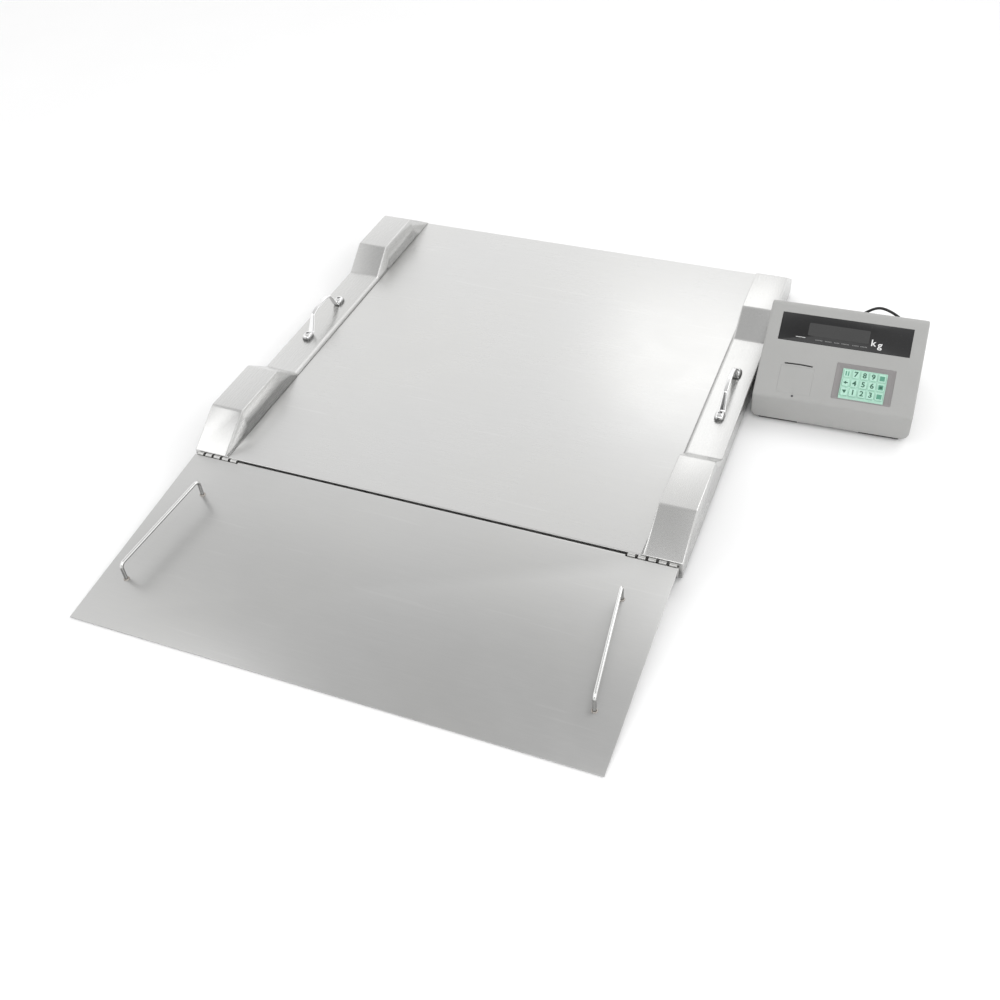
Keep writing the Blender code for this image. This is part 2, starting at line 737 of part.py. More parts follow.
def knuckle_spans(side, own):
    """X ranges of the knuckles that belong to the platform's leaf (own 0) or the ramp's (own 1)."""
    pitch = (HINGE_OUTER - HINGE_INNER) / KNUCKLES
    spans = []
    for i in range(own, KNUCKLES, 2):
        xs = (HINGE_INNER + i * pitch + GAP / 2, HINGE_INNER + (i + 1) * pitch - GAP / 2)
        spans.append(tuple(sorted(side * x for x in xs)))
    return spans


def leaf_with_knuckles(name, side, own, plate, tongue, mat, parent, at):
    """A hinge leaf about the X axis. plate and tongue are (y, z) boxes; a tongue joins each knuckle."""
    xs = sorted((side * HINGE_INNER, side * HINGE_OUTER))
    sheet = bmesh.new()
    add_box(sheet, (xs[0], plate[0], plate[1]), (xs[1], plate[2], plate[3]))
    leaf = place(name, sheet, mat, parent, at)
    tongues = bmesh.new()
    barrels = bmesh.new()
    for x0, x1 in knuckle_spans(side, own):
        add_box(tongues, (x0, tongue[0], tongue[1]), (x1, tongue[2], tongue[3]))
        add_rod(barrels, (x0, 0, 0), (x1, 0, 0), KNUCKLE_RADIUS, HINGE_SIDES)
    join(leaf, "tongues", tongues)
    join(leaf, "barrels", barrels)
    bore = bmesh.new()
    add_rod(bore, (xs[0] - CUT_REACH, 0, 0), (xs[1] + CUT_REACH, 0, 0), PIN_BORE, HINGE_SIDES)
    cut(leaf, "pin_bore", bore)
    return leaf


def platform_leaf(name, side, mat, parent):
    back = -HINGE_Y - GAP
    front = back - LEAF
    plate = (front, PLATFORM_LEAF[0], back, PLATFORM_LEAF[1])
    tongue = (front, PLATFORM_TONGUE[0], back, PLATFORM_TONGUE[1])
    at = (0, HINGE_Y, HINGE_Z)
    return leaf_with_knuckles(name, side, 0, plate, tongue, mat, parent, at)


def ramp_leaf(name, side, mat, parent):
    top = RAMP_UNDER - GAP
    bottom = top - LEAF
    plate = (RAMP_LEAF[0], bottom, RAMP_LEAF[1], top)
    tongue = (RAMP_TONGUE[0], bottom, RAMP_TONGUE[1], top)
    return leaf_with_knuckles(name, side, 1, plate, tongue, mat, parent, (0, 0, 0))


def hinge_pin(name, side, mat, parent):
    xs = sorted((side * (HINGE_INNER - GAP), side * (HINGE_OUTER + GAP)))
    rod = bmesh.new()
    add_rod(rod, (xs[0], 0, 0), (xs[1], 0, 0), PIN_RADIUS, HINGE_SIDES)
    return place(name, rod, mat, parent, (0, HINGE_Y, HINGE_Z))


# ---- junction box and cables


def junction_box(mat, parent):
    tray = bmesh.new()
    add_box(tray, BOX_LOW, BOX_HIGH)
    box = place("junction_box", tray, mat, parent)
    hollow = bmesh.new()
    low = [v + BOX_WALL for v in BOX_LOW]
    add_box(hollow, low, (BOX_HIGH[0] - BOX_WALL, BOX_HIGH[1] - BOX_WALL, BOX_HIGH[2] + CUT_REACH))
    cut(box, "hollow", hollow)
    ports = bmesh.new()
    y, z = bundle_line()
    start = (BOX_LOW[0] - CUT_REACH, y, z)
    stop = (BOX_HIGH[0] + CUT_REACH, y, z)
    add_rod(ports, start, stop, BUNDLE_RADIUS + PORT_CLEARANCE, 12)
    cut(box, "bundle_ports", ports)
    port = bmesh.new()
    x = signal_start()[0]
    start = (x, BOX_HIGH[1] - CUT_REACH, z)
    stop = (x, BOX_HIGH[1] + CUT_REACH, z)
    add_rod(port, start, stop, SIGNAL_RADIUS + PORT_CLEARANCE, 12)
    cut(box, "signal_port", port)
    return box


def junction_box_lid(mat, parent):
    lid = bmesh.new()
    low = (BOX_LOW[0], BOX_LOW[1], BOX_HIGH[2] + GAP)
    add_box(lid, low, (BOX_HIGH[0], BOX_HIGH[1], BOX_HIGH[2] + BOX_LID))
    return place("junction_box_lid", lid, mat, parent)


def bundle_line():
    """Place, along Y and Z, of the cable bundle that crosses below the deck."""
    return BOX_LOW[1] + BUNDLE_INSET, BUNDLE_Z


def run_x():
    """Distance of the side cable runs from the platform's centre line."""
    return HALF_WIDTH - BEAM_INSET - BEAM_WIDTH - RUN_OFFSET


def signal_start():
    return (BOX_HIGH[0] - SIGNAL_START[0], BOX_HIGH[1] - SIGNAL_START[1], BUNDLE_Z)


def side_run(side):
    """Cable path along one side, from the front load cell to the back one."""
    x_cell = side * (HALF_WIDTH - CELL_CENTRE_INSET)
    z_cell = CELL_BOTTOM + CELL_SIDE / 2
    start = CELL_START + CELL_LENGTH + GAP
    turn = start + CELL_LEAD
    half = [
        (x_cell, start, z_cell),
        (x_cell, turn, z_cell),
        (side * run_x(), turn, z_cell),
        (side * run_x(), turn, bundle_line()[1]),
    ]
    back = [(x, LENGTH - y, z) for x, y, z in reversed(half)]
    return rounded_path(half + back, CABLE_BEND, 3)


def load_cell_harness(mat, parent):
    """Four load cell cables, tied into one loom that runs through the junction box."""
    loom = tube("load_cell_harness", side_run(-1), CABLE_RADIUS, mat, parent, 6)
    other_side = bmesh.new()
    add_tube(other_side, side_run(1), CABLE_RADIUS, 6)
    y, z = bundle_line()
    cross = bmesh.new()
    add_rod(cross, (-run_x(), y, z), (run_x(), y, z), BUNDLE_RADIUS, 12)
    join(loom, "cross_bundle", cross)
    join(loom, "other_side", other_side)
    return loom


# ---- indicator


def case_outline():
    """Side view of the indicator's casing."""
    return [
        (0, CASE_BOTTOM),
        (0, FOLD_Z),
        (PANEL_RUN, CASE_TOP),
        (PANEL_RUN + CASE_RIDGE, CASE_TOP),
        (CASE_DEPTH, CASE_SHOULDER),
        (CASE_DEPTH, CASE_BOTTOM),
    ]


def is_lower_side(edge):
    """One of the two lower edges that run front to back."""
    low = all(abs(v.co.z - CASE_BOTTOM) < SAME_PLACE for v in edge.verts)
    return low and abs(edge.verts[0].co.x - edge.verts[1].co.x) < SAME_PLACE


def indicator_housing(mat, parent, panel):
    """Upper shell: upright front band, sloping panel and back, generous lower corners, open below."""
    shell = bmesh.new()
    add_prism_x(shell, case_outline(), 0, CASE_WIDTH)
    bmesh.ops.recalc_face_normals(shell, faces=shell.faces)
    lower = [e for e in shell.edges if is_lower_side(e)]
    bmesh.ops.bevel(shell, geom=lower, offset=CASE_CORNER, segments=4, profile=0.5, affect="EDGES")
    sharp = [e for e in shell.edges if e.calc_face_angle(0) > CASE_FOLD]
    bmesh.ops.bevel(shell, geom=sharp, offset=CASE_EDGE, segments=2, profile=0.5, affect="EDGES")
    underside = [f for f in shell.faces if f.normal.z < -0.999]
    bmesh.ops.delete(shell, geom=underside, context="FACES")
    housing = place("indicator_housing", shell, mat, parent)
    wall = housing.modifiers.new("wall", "SOLIDIFY")
    wall.thickness = CASE_WALL
    wall.offset = -1
    openings = bmesh.new()
    for x0, y0, x1, y1 in (WINDOW, RECESS, DOOR, SLOT):
        add_box(openings, (x0 - GAP, y0 - GAP, PANEL_CUT[0]), (x1 + GAP, y1 + GAP, PANEL_CUT[1]))
    add_rod(openings, (*LATCH, PANEL_CUT[0]), (*LATCH, PANEL_CUT[1]), LATCH_RADIUS + GAP, 20)
    cut(housing, "panel_openings", openings).parent = panel
    rear = bmesh.new()
    half_w = SWITCH_SIZE[0] / 2 + SWITCH_CLEARANCE
    half_h = SWITCH_SIZE[1] / 2 + SWITCH_CLEARANCE
    x, z = SWITCH
    low = (x - half_w, CASE_DEPTH - CUT_REACH, z - half_h)
    add_box(rear, low, (x + half_w, CASE_DEPTH + CUT_REACH, z + half_h))
    cut(housing, "switch_opening", rear)
    return housing


def indicator_base(mat, parent):
    base = bmesh.new()
    side = CASE_CORNER + BASE_MARGIN
    end = CASE_EDGE + BASE_MARGIN
    low = (side, end, CASE_BOTTOM)
    add_box(base, low, (CASE_WIDTH - side, CASE_DEPTH - end, CASE_BOTTOM + CASE_WALL))
    return place("indicator_base", base, mat, parent)


def indicator_foot(name, x0, mat, parent):
    strip = bmesh.new()
    low = (x0, FOOT_SETBACK, 0)
    add_box(strip, low, (x0 + FOOT_STRIP, CASE_DEPTH - FOOT_SETBACK, CASE_BOTTOM - GAP))
    foot = place(name, strip, mat, parent)
    bevel(foot, 0.002, 2)
    return foot


def panel_slab(name, area, n0, n1, mat, parent, edge=0.0):
    slab = bmesh.new()
    add_box(slab, (area[0], area[1], n0), (area[2], area[3], n1))
    piece = place(name, slab, mat, parent)
    if edge:
        bevel(piece, edge, 2)
    return piece


def keypad_frame(mat, panel):
    """Shallow tray set into the panel, round the keypad mat."""
    frame = panel_slab("keypad_frame", RECESS, -RECESS_DEPTH, 0, mat, panel)
    recess = bmesh.new()
    x0, y0, x1, y1 = RECESS
    low = (x0 + RECESS_WALL, y0 + RECESS_WALL, RECESS_FLOOR)
    add_box(recess, low, (x1 - RECESS_WALL, y1 - RECESS_WALL, CUT_REACH))
    cut(frame, "recess", recess)
    return frame


def key(name, column, row, mat, panel):
    x = KEY_FIRST[0] + column * KEY_PITCH[0]
    y = KEY_FIRST[1] - row * KEY_PITCH[1]
    w, h = KEY_SIZE
    cap = bmesh.new()
    add_box(cap, (-w / 2, -h / 2, -KEY_HALF), (w / 2, h / 2, KEY_HALF))
    piece = place(name, cap, mat, panel, (x, y, 0))
    bevel(piece, KEY_EDGE, 1)
    return piece


def printer_door(mat, panel):
    """Flush lid over the paper roll, hinged along its upper edge."""
    x0, y0, x1, y1 = DOOR
    lid = bmesh.new()
    add_box(lid, (x0, y0 - y1, -DOOR_THICK), (x1, 0, 0))
    return place("printer_door", lid, mat, panel, (0, y1, 0))


def printer_latch(mat, panel):
    button = bmesh.new()
    add_rod(button, (0, 0, -LATCH_DEPTH), (0, 0, LATCH_RISE), LATCH_RADIUS, 20)
    return place("printer_latch_button", button, mat, panel, (*LATCH, 0))


def printer_mechanism(mat, panel):
    """Print head block behind the paper slot, with two cheeks that carry the paper roll's spindle."""
    x, y, z = ROLL_CENTRE
    half = ROLL_LENGTH / 2
    head = bmesh.new()
    reach = half + HEAD_MARGIN
    low = (x - reach, y + HEAD_SPAN[0], HEAD_DEPTH[0])
    add_box(head, low, (x + reach, y + HEAD_SPAN[1], HEAD_DEPTH[1]))
    block = place("printer_mechanism", head, mat, panel)
    cheeks = bmesh.new()
    for side in (-1, 1):
        xs = sorted(x + side * (half + face) for face in CHEEK)
        low = (xs[0], y + CHEEK_SPAN[0], CHEEK_DEPTH[0])
        add_box(cheeks, low, (xs[1], y + CHEEK_SPAN[1], CHEEK_DEPTH[1]))
    join(block, "cheeks", cheeks)
    notch = bmesh.new()
    r = SPINDLE_RADIUS + GAP
    add_box(notch, (x - half - CUT_REACH, y - r, z - r), (x + half + CUT_REACH, y + r, 0.0))
    cut(block, "spindle_notch", notch)
    throat = bmesh.new()
    mid = (SLOT[1] + SLOT[3]) / 2
    add_box(throat, (SLOT[0], mid - THROAT_HALF, -THROAT_DEPTH), (SLOT[2], mid + THROAT_HALF, 0.0))
    cut(block, "paper_throat", throat)
    return block


def paper_roll(mat, panel):
    half = ROLL_LENGTH / 2
    end = half + SPINDLE_END
    profile = [
        (0, -end),
        (SPINDLE_RADIUS, -end),
        (SPINDLE_RADIUS, -half),
        (ROLL_RADIUS, -half),
        (ROLL_RADIUS, half),
        (SPINDLE_RADIUS, half),
        (SPINDLE_RADIUS, end),
        (0, end),
    ]
    roll = bmesh.new()
    add_turned(roll, profile, 28)
    return place("paper_roll", roll, mat, panel, ROLL_CENTRE, (0, math.pi / 2, 0))


def main_board(mat, parent):
    board = bmesh.new()
    add_box(board, BOARD_LOW, BOARD_HIGH)
    piece = place("main_board", board, mat, parent)
    chips = bmesh.new()
    solder = 0.0006
    for x, y, w, l, h in (
        (0.170, 0.080, 0.030, 0.030, 0.004),
        (0.215, 0.085, 0.018, 0.012, 0.003),
        (0.260, 0.150, 0.050, 0.020, 0.012),
        (0.180, 0.150, 0.020, 0.020, 0.016),
    ):
        add_box(chips, (x, y, BOARD_HIGH[2] - solder), (x + w, y + l, BOARD_HIGH[2] + h))
    join(piece, "chips", chips)
    return piece


def power_switch(mat, parent):
    """Rocker with a shallow V face, resting tilted to one side."""
    w, h = SWITCH_SIZE
    half = h / 2
    ends, middle = ROCKER_FACE
    outline = [(0, -half), (ends, -half), (middle, 0), (ends, half), (0, half), (-ROCKER_BACK, 0)]
    rocker = bmesh.new()
    add_prism_x(rocker, outline, -w / 2, w / 2)
    at = (SWITCH[0], CASE_DEPTH - SWITCH_SINK, SWITCH[1])
    return place("power_switch", rocker, mat, parent, at, (SWITCH_TILT, 0, 0))


def smooth_path(points, steps=5):
    """Points along a Catmull-Rom curve through the given ones."""
    pts = [Vector(p) for p in points]
    pts = [pts[0] * 2 - pts[1], *pts, pts[-1] * 2 - pts[-2]]
    path = []
    for a, b, c, d in zip(pts, pts[1:], pts[2:], pts[3:]):
        for i in range(steps):
            t = i / steps
            path.append(
                0.5
                * (
                    2 * b
                    + (c - a) * t
                    + (2 * a - 5 * b + 4 * c - d) * t**2
                    + (3 * b - a - 3 * c + d) * t**3
                )
            )
    return path + [pts[-2]]


def signal_cable(mat, parent, indicator):
    """From the junction box, under the right side cover and round the back of the indicator."""
    at = indicator.matrix_local
    behind = CASE_DEPTH + CABLE_BEHIND
    lie = SIGNAL_RADIUS + GAP
    x, y, z = signal_start()
    exit_y = SIGNAL_EXIT_Y
    under_platform = [
        (x, y, z),
        (x, y + 0.035, z),
        (x, y + 0.060, lie),
        (x + 0.012, exit_y - 0.060, lie),
        (x + 0.055, exit_y, lie),
        (HALF_WIDTH + 0.040, exit_y, lie),
    ]
    loop = [
        (0.280, behind + 0.028, lie),
        *((along, behind + back, up) for along, back, up in CABLE_LOOP),
        (PLUG[0], behind - 0.010, PLUG[1]),
        (PLUG[0], CASE_DEPTH + 0.006, PLUG[1]),
    ]
    points = [Vector(p) for p in under_platform] + [at @ Vector(p) for p in loop]
    path = smooth_path(points)
    for point in path:
        point.z = max(point.z, lie)
    cable = tube("signal_cable", path, SIGNAL_RADIUS, mat, parent, 6)
    plug = bmesh.new()
    base = at @ Vector((PLUG[0], CASE_DEPTH + GAP, PLUG[1]))
    tip = at @ Vector((PLUG[0], CASE_DEPTH + PLUG_LENGTH, PLUG[1]))
    add_rod(plug, base, tip, PLUG_RADIUS, 16)
    join(cable, "plug", plug)
    return cable


# ---- assembly


def make_looks():
    return {
        "steel": material("satin_stainless", (0.62, 0.62, 0.61), 0.32, 1.0),
        "deck": material("brushed_stainless", (0.70, 0.70, 0.69), 0.38, 1.0),
        "polished": material("polished_stainless", (0.80, 0.80, 0.80), 0.10, 1.0),
        "frame": material("bare_channel", (0.52, 0.52, 0.51), 0.45, 1.0),
        "cell": material("nickel_plate", (0.60, 0.59, 0.56), 0.35, 1.0),
        "foot": material("black_rubber", (0.03, 0.03, 0.03), 0.85, 0.0),
        "hinge": material("hinge_steel", (0.58, 0.58, 0.57), 0.35, 1.0),
        "box": material("grey_plastic", (0.30, 0.30, 0.31), 0.55, 0.0),
        "cable": material("black_jacket", (0.02, 0.02, 0.02), 0.50, 0.0),
        "case": material("grey_casing", (0.46, 0.46, 0.45), 0.60, 0.0),
        "window": material("smoked_acrylic", (0.03, 0.03, 0.03), 0.12, 0.0),
        "display": material("display_glass", (0.10, 0.10, 0.10), 0.20, 0.0),
        "keypad": material("keypad_surround", (0.36, 0.35, 0.35), 0.60, 0.0),
        "mint": material("mint_silicone", (0.45, 0.86, 0.66), 0.55, 0.0),
        "board": material("circuit_board", (0.03, 0.22, 0.09), 0.45, 0.0),
        "paper": material("thermal_paper", (0.90, 0.90, 0.87), 0.90, 0.0),
        "printer": material("dark_mechanism", (0.08, 0.08, 0.09), 0.50, 0.0),
    }


def build_platform(looks, parent):
    for name, side in (("left", -1), ("right", 1)):
        side_cover(f"{name}_side_cover", side, looks["steel"], parent)
        rail_handle(f"{name}_rail_handle", side, looks["polished"], parent)
        for end_name, end in (("front", -1), ("back", 1)):
            handle_cap(f"{name}_handle_{end_name}_cap", side, end, looks["polished"], parent)
    deck_plate(looks["deck"], parent)
    underframe(looks["frame"], parent)
    for corner, side, end in corner_places():
        load_cell(corner, side, end, looks["cell"], parent)
        levelling_foot(corner, side, end, looks["foot"], parent)
    junction_box(looks["box"], parent)
    junction_box_lid(looks["box"], parent)
    load_cell_harness(looks["cable"], parent)


def build_ramp(looks, parent):
    frame = empty("ramp_hinge_axis", parent, (0, HINGE_Y, HINGE_Z), (RAMP_TILT, 0, 0))
    ramp(looks["steel"], frame)
    for name, side in (("left", -1), ("right", 1)):
        ramp_handle(f"{name}_ramp_handle", side, looks["polished"], frame)
        platform_leaf(f"{name}_hinge_platform_leaf", side, looks["hinge"], parent)
        ramp_leaf(f"{name}_hinge_ramp_leaf", side, looks["hinge"], frame)
        hinge_pin(f"{name}_hinge_pin", side, looks["hinge"], parent)


def build_indicator(looks, parent):
    panel = empty("panel_frame", parent, (0, 0, FOLD_Z), (PANEL_TILT, 0, 0))
    indicator_housing(looks["case"], parent, panel)
    indicator_base(looks["case"], parent)
    left = CASE_CORNER + BASE_MARGIN
    indicator_foot("indicator_left_foot", left, looks["foot"], parent)
    indicator_foot("indicator_right_foot", CASE_WIDTH - left - FOOT_STRIP, looks["foot"], parent)
    panel_slab("display_window", WINDOW, -WINDOW_THICK, 0, looks["window"], panel)
    rim = DISPLAY_RIM
    behind = (DISPLAY[0] - rim, DISPLAY[1] - rim, DISPLAY[2] + rim, DISPLAY[3] + rim)
    panel_slab("display_module", behind, DISPLAY_SPAN[0], DISPLAY_SPAN[1], looks["display"], panel)
    keypad_frame(looks["keypad"], panel)
    panel_slab("keypad_mat", MAT, RECESS_FLOOR + GAP, MAT_TOP, looks["mint"], panel, MAT_EDGE)
    for row, names in enumerate(KEY_NAMES):
        for column, name in enumerate(names):
            key(name, column, row, looks["mint"], panel)
    printer_door(looks["case"], panel)
    printer_latch(looks["printer"], panel)
    printer_mechanism(looks["printer"], panel)
    paper_roll(looks["paper"], panel)
    main_board(looks["board"], parent)
    power_switch(looks["printer"], parent)


def main():
    clear_scene()
    looks = make_looks()
    platform = empty("platform_frame", None, (ORIGIN_X, ORIGIN_Y, 0))
    indicator = empty("indicator_frame", platform, (INDICATOR_X, INDICATOR_Y, 0), (0, 0, INDICATOR_YAW))
    bpy.context.view_layer.update()
    build_platform(looks, platform)
    build_ramp(looks, platform)
    build_indicator(looks, indicator)
    signal_cable(looks["cable"], platform, indicator)


main()
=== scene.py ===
import json
import math
import random

import bmesh
import bpy
from mathutils import Matrix, Vector

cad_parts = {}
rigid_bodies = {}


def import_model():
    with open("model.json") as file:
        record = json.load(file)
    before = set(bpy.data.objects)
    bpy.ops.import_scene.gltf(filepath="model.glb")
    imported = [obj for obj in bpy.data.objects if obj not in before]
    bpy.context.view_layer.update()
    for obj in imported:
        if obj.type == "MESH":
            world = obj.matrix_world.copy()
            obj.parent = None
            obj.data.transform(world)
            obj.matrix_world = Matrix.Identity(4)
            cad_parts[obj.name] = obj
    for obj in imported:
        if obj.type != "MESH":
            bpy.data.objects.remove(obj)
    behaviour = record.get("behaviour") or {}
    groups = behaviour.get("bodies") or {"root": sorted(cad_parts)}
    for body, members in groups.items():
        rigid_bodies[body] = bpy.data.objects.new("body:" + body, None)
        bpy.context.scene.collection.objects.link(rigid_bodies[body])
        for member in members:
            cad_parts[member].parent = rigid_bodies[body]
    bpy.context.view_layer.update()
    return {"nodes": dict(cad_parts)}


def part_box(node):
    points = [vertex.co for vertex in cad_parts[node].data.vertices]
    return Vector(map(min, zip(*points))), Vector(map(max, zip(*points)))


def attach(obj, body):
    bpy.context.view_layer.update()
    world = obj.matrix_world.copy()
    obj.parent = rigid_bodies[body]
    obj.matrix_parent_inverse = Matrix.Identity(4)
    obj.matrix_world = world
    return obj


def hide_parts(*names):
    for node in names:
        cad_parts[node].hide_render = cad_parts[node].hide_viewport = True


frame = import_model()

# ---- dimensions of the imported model, in metres

GAP = 0.0003
SAME_PLACE = 0.000001
SHEET = 0.002
HALF_WIDTH = 0.590
LENGTH = 1.145
DECK_TOP = 0.048
DECK_PLATE = 0.004
DECK_FLANGE_BOTTOM = 0.010
RAIL_TOP = 0.058
HOUSING_TOP = 0.111
RAIL_TOP_WIDTH = 0.083
RAIL_FOOT_WIDTH = 0.0905
WALL_BOTTOM = 0.008
SLOPE_END = 0.098
FLAT_END = 0.264
INNER_SLOPE_END = 0.336
SEAM_Z = DECK_TOP + 0.0010
DECK_TUCK = 0.0075
TUCK_DROP = 0.0005
COVER_BEND = 0.0045
DECK_HALF = HALF_WIDTH - RAIL_FOOT_WIDTH - GAP

HANDLE_Y = LENGTH / 2
HANDLE_INSET = RAIL_TOP_WIDTH / 2
CAP_SPACING = 0.176
CAP_SIZE = (0.024, 0.032, 0.013)
GRIP_WIDTH = 0.018
GRIP_THICK = 0.006
GRIP_SEAT = 0.004
GRIP_SHOULDER = 0.070
GRIP_CORNER = 0.047
GRIP_RISE = 0.046
GRIP_ARCH = 0.008
CAP_POCKET_SETBACK = 0.004
SCREW_RADIUS = 0.0040
SCREW_SINK = 0.0024
SCREW_WELL = 0.0009  # clearance round a screw's head
SCREW_CROSS = (0.0028, 0.00065)  # half the length and half the width of each bar of its cross

HINGE_Y = -0.0055
HINGE_Z = 0.045
RAMP_HALF = 0.5835
RAMP_REACH = 0.507
RAMP_TOP = 0.002
RAMP_UNDER = -0.001
RAMP_EDGE = -0.0015
LIP_GAP = 0.0002
RAMP_TILT = math.asin((HINGE_Z + RAMP_UNDER - LIP_GAP) / RAMP_REACH)
WELD_OVERLAP = 0.001
RIB_START = -0.050
RIB_STOP = 0.040  # from the ribs' ends to the ramp's lip
RIB_THICK = 0.004
RIB_FLOOR_GAP = 0.003
RIB_INSET = 0.012
CROSS_BARS = (0.006, 0.200)
CROSS_BAR_RISE = 0.006
HINGE_INNER = 0.470
HINGE_OUTER = 0.582
HINGE_CLEARANCE = 0.001
HINGE_NOTCH = -0.0062
LEAF = 0.002
PLATFORM_LEAF = (-0.034, -0.0056)
PLATFORM_TONGUE = (-0.0066, -0.001)
RAMP_LEAF = (-0.044, -0.0060)
RAMP_TONGUE = (-0.0070, -0.003)
KNUCKLES = 5
KNUCKLE_RADIUS = 0.005
PIN_RADIUS = 0.0024
KNUCKLE_GAP = 0.0062
RAMP_GRIP_ROD = 0.004
RAMP_GRIP_RISE = 0.044
RAMP_GRIP_LEAN = math.radians(2.5)
RAMP_GRIP_FAR = (HALF_WIDTH - 0.094, -0.116)
RAMP_GRIP_NEAR = (HALF_WIDTH - 0.065, -0.382)
RAMP_GRIP_BEND = 0.012
WELD_SIZE = 0.0019

INDICATOR_X = 0.603
INDICATOR_Y = 0.5775
INDICATOR_YAW = math.radians(2.3)
CASE_WIDTH = 0.366
CASE_DEPTH = 0.276
CASE_BOTTOM = 0.009
FOLD_Z = 0.073
PANEL_RISE = 0.121
PANEL_RUN = 0.215
CASE_TOP = FOLD_Z + PANEL_RISE
CASE_WALL = 0.003
CASE_RIDGE = 0.012
CASE_SHOULDER = 0.154
CASE_CORNER = 0.018
CASE_EDGE = 0.005
PANEL_TILT = math.atan2(PANEL_RISE, PANEL_RUN)
WINDOW = (0.0305, 0.1515, 0.3345, 0.2255)
DISPLAY = (0.0970, 0.1720, 0.2385, 0.2055)
RECESS = (0.1780, 0.0210, 0.3120, 0.1130)
MAT = (0.1935, 0.0245, 0.2950, 0.1015)
DOOR = (0.0520, 0.0160, 0.1300, 0.0860)
SLOT = (0.0583, 0.0897, 0.1238, 0.0935)
SLOT_BOW = 0.0011
PANEL_CUT = (-0.012, 0.010)
WINDOW_THICK = 0.0026
NAME_BAR = (0.0705, 0.1641, 0.0930, 0.1654)
STATUS_LINE = (0.1610, 0.1633)  # lower and upper edge of the row of small bars
STATUS_MARKS = (  # left and right end of each group in that row
    *((0.1175, 0.1345), (0.1400, 0.1555), (0.1607, 0.1737)),
    *((0.1780, 0.1960), (0.2031, 0.2183), (0.2217, 0.2375)),
)
STATUS_PITCH = 0.0032
STATUS_FILL = 0.62  # printed share of that pitch
UNIT_HEIGHT = 0.0235
UNIT_PLACES = (("k", (0.2490, 0.1752)), ("g", (0.2645, 0.1722)))
LATCH = (0.0910, 0.0098)
LATCH_RADIUS = 0.0024
LATCH_DEPTH = 0.007
THUMB_GROOVE = (0.0902, 0.0185, 0.0908, 0.0305)
RECESS_FLOOR = -0.0035
KEY_FIRST = (0.2046, 0.0883)
KEY_PITCH = (0.0198, 0.0232)
KEY_SIZE = (0.0160, 0.0188)
KEY_TOP = 0.0008
PRINT = 0.00008  # thickness of printed marks
KEY_NAMES = (
    ("key_print", "key_seven", "key_eight", "key_nine", "key_tare"),
    ("key_total", "key_four", "key_five", "key_six", "key_zero_set"),
    ("key_clear", "key_one", "key_two", "key_three", "key_enter"),
)
DIGIT_NAMES = ("one", "two", "three", "four", "five", "six", "seven", "eight", "nine")
KEY_DIGITS = {f"key_{name}": str(i + 1) for i, name in enumerate(DIGIT_NAMES)}
DIGIT_HEIGHT = 0.0180
SWITCH = (0.310, 0.060)
SWITCH_SIZE = (0.013, 0.020)
SWITCH_CLEARANCE = 0.0008
PLUG = (0.200, 0.118)
PLUG_PROFILE = (  # radius and distance from the case
    (0.0090, 0.0000),
    (0.0090, 0.0052),
    (0.0082, 0.0058),
    (0.0082, 0.0066),
    (0.0090, 0.0072),
    (0.0090, 0.0132),
    (0.0080, 0.0140),
    (0.0045, 0.0140),
)
SIGNAL_RADIUS = 0.0033
SIGNAL_START = (0.420, 0.714, 0.0225)
SIGNAL_EXIT_Y = 0.905
CABLE_BEHIND = 0.022
CABLE_LOOP = (  # across from the indicator's left side, back from where the cable hangs, up
    (0.345, 0.008, SIGNAL_RADIUS + GAP + 0.006),
    (0.352, 0, 0.040),
    (0.334, 0, 0.100),
    (0.3006, 0, 0.1436),
    (0.2525, 0, 0.1650),
    (0.2175, 0, 0.1470),
    (0.202, -0.001, 0.124),
)

# Studio: its brightness by height of the direction, then darker flags on it, each with its
# direction, where its edge starts and its core ends (cosines), and what remains of the light
FLOOR_HALF = 40
FLOOR_Z = -0.0005
FLOOR_FADE = (5, 12, 0, 0.4)  # glow that hides the horizon: from here, full there, none, full
SKY_STRENGTH = 1.6
SKY = (
    *((0, 0.78), (0.36, 0.78), (0.48, 0.76), (0.62, 0.74), (0.69, 0.71)),
    *((0.77, 0.66), (0.83, 0.535), (0.90, 0.48), (1, 0.44)),
)
FLAGS = (
    ((-0.02, -0.965, 0.26), 0.935, 0.965, 0.12),
    ((-0.25, -0.33, 0.91), 0.92, 0.975, 0.80),
    ((-0.64, 0.33, 0.69), 0.962, 0.992, 0.72),
)

# ---- frames: the platform's middle front edge on the floor, the ramp's hinge, the indicator, its panel

deck_low, deck_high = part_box("deck_plate")
PLATFORM = Matrix.Translation(((deck_low.x + deck_high.x) / 2, deck_low.y, 0))
RAMP = PLATFORM @ Matrix.Translation((0, HINGE_Y, HINGE_Z)) @ Matrix.Rotation(RAMP_TILT, 4, "X")
HINGE = PLATFORM @ Matrix.Translation((0, HINGE_Y, HINGE_Z))
INDICATOR = (
    PLATFORM
    @ Matrix.Translation((INDICATOR_X, INDICATOR_Y, 0))
    @ Matrix.Rotation(INDICATOR_YAW, 4, "Z")
)
PANEL = INDICATOR @ Matrix.Translation((0, 0, FOLD_Z)) @ Matrix.Rotation(PANEL_TILT, 4, "X")


# ---- materials


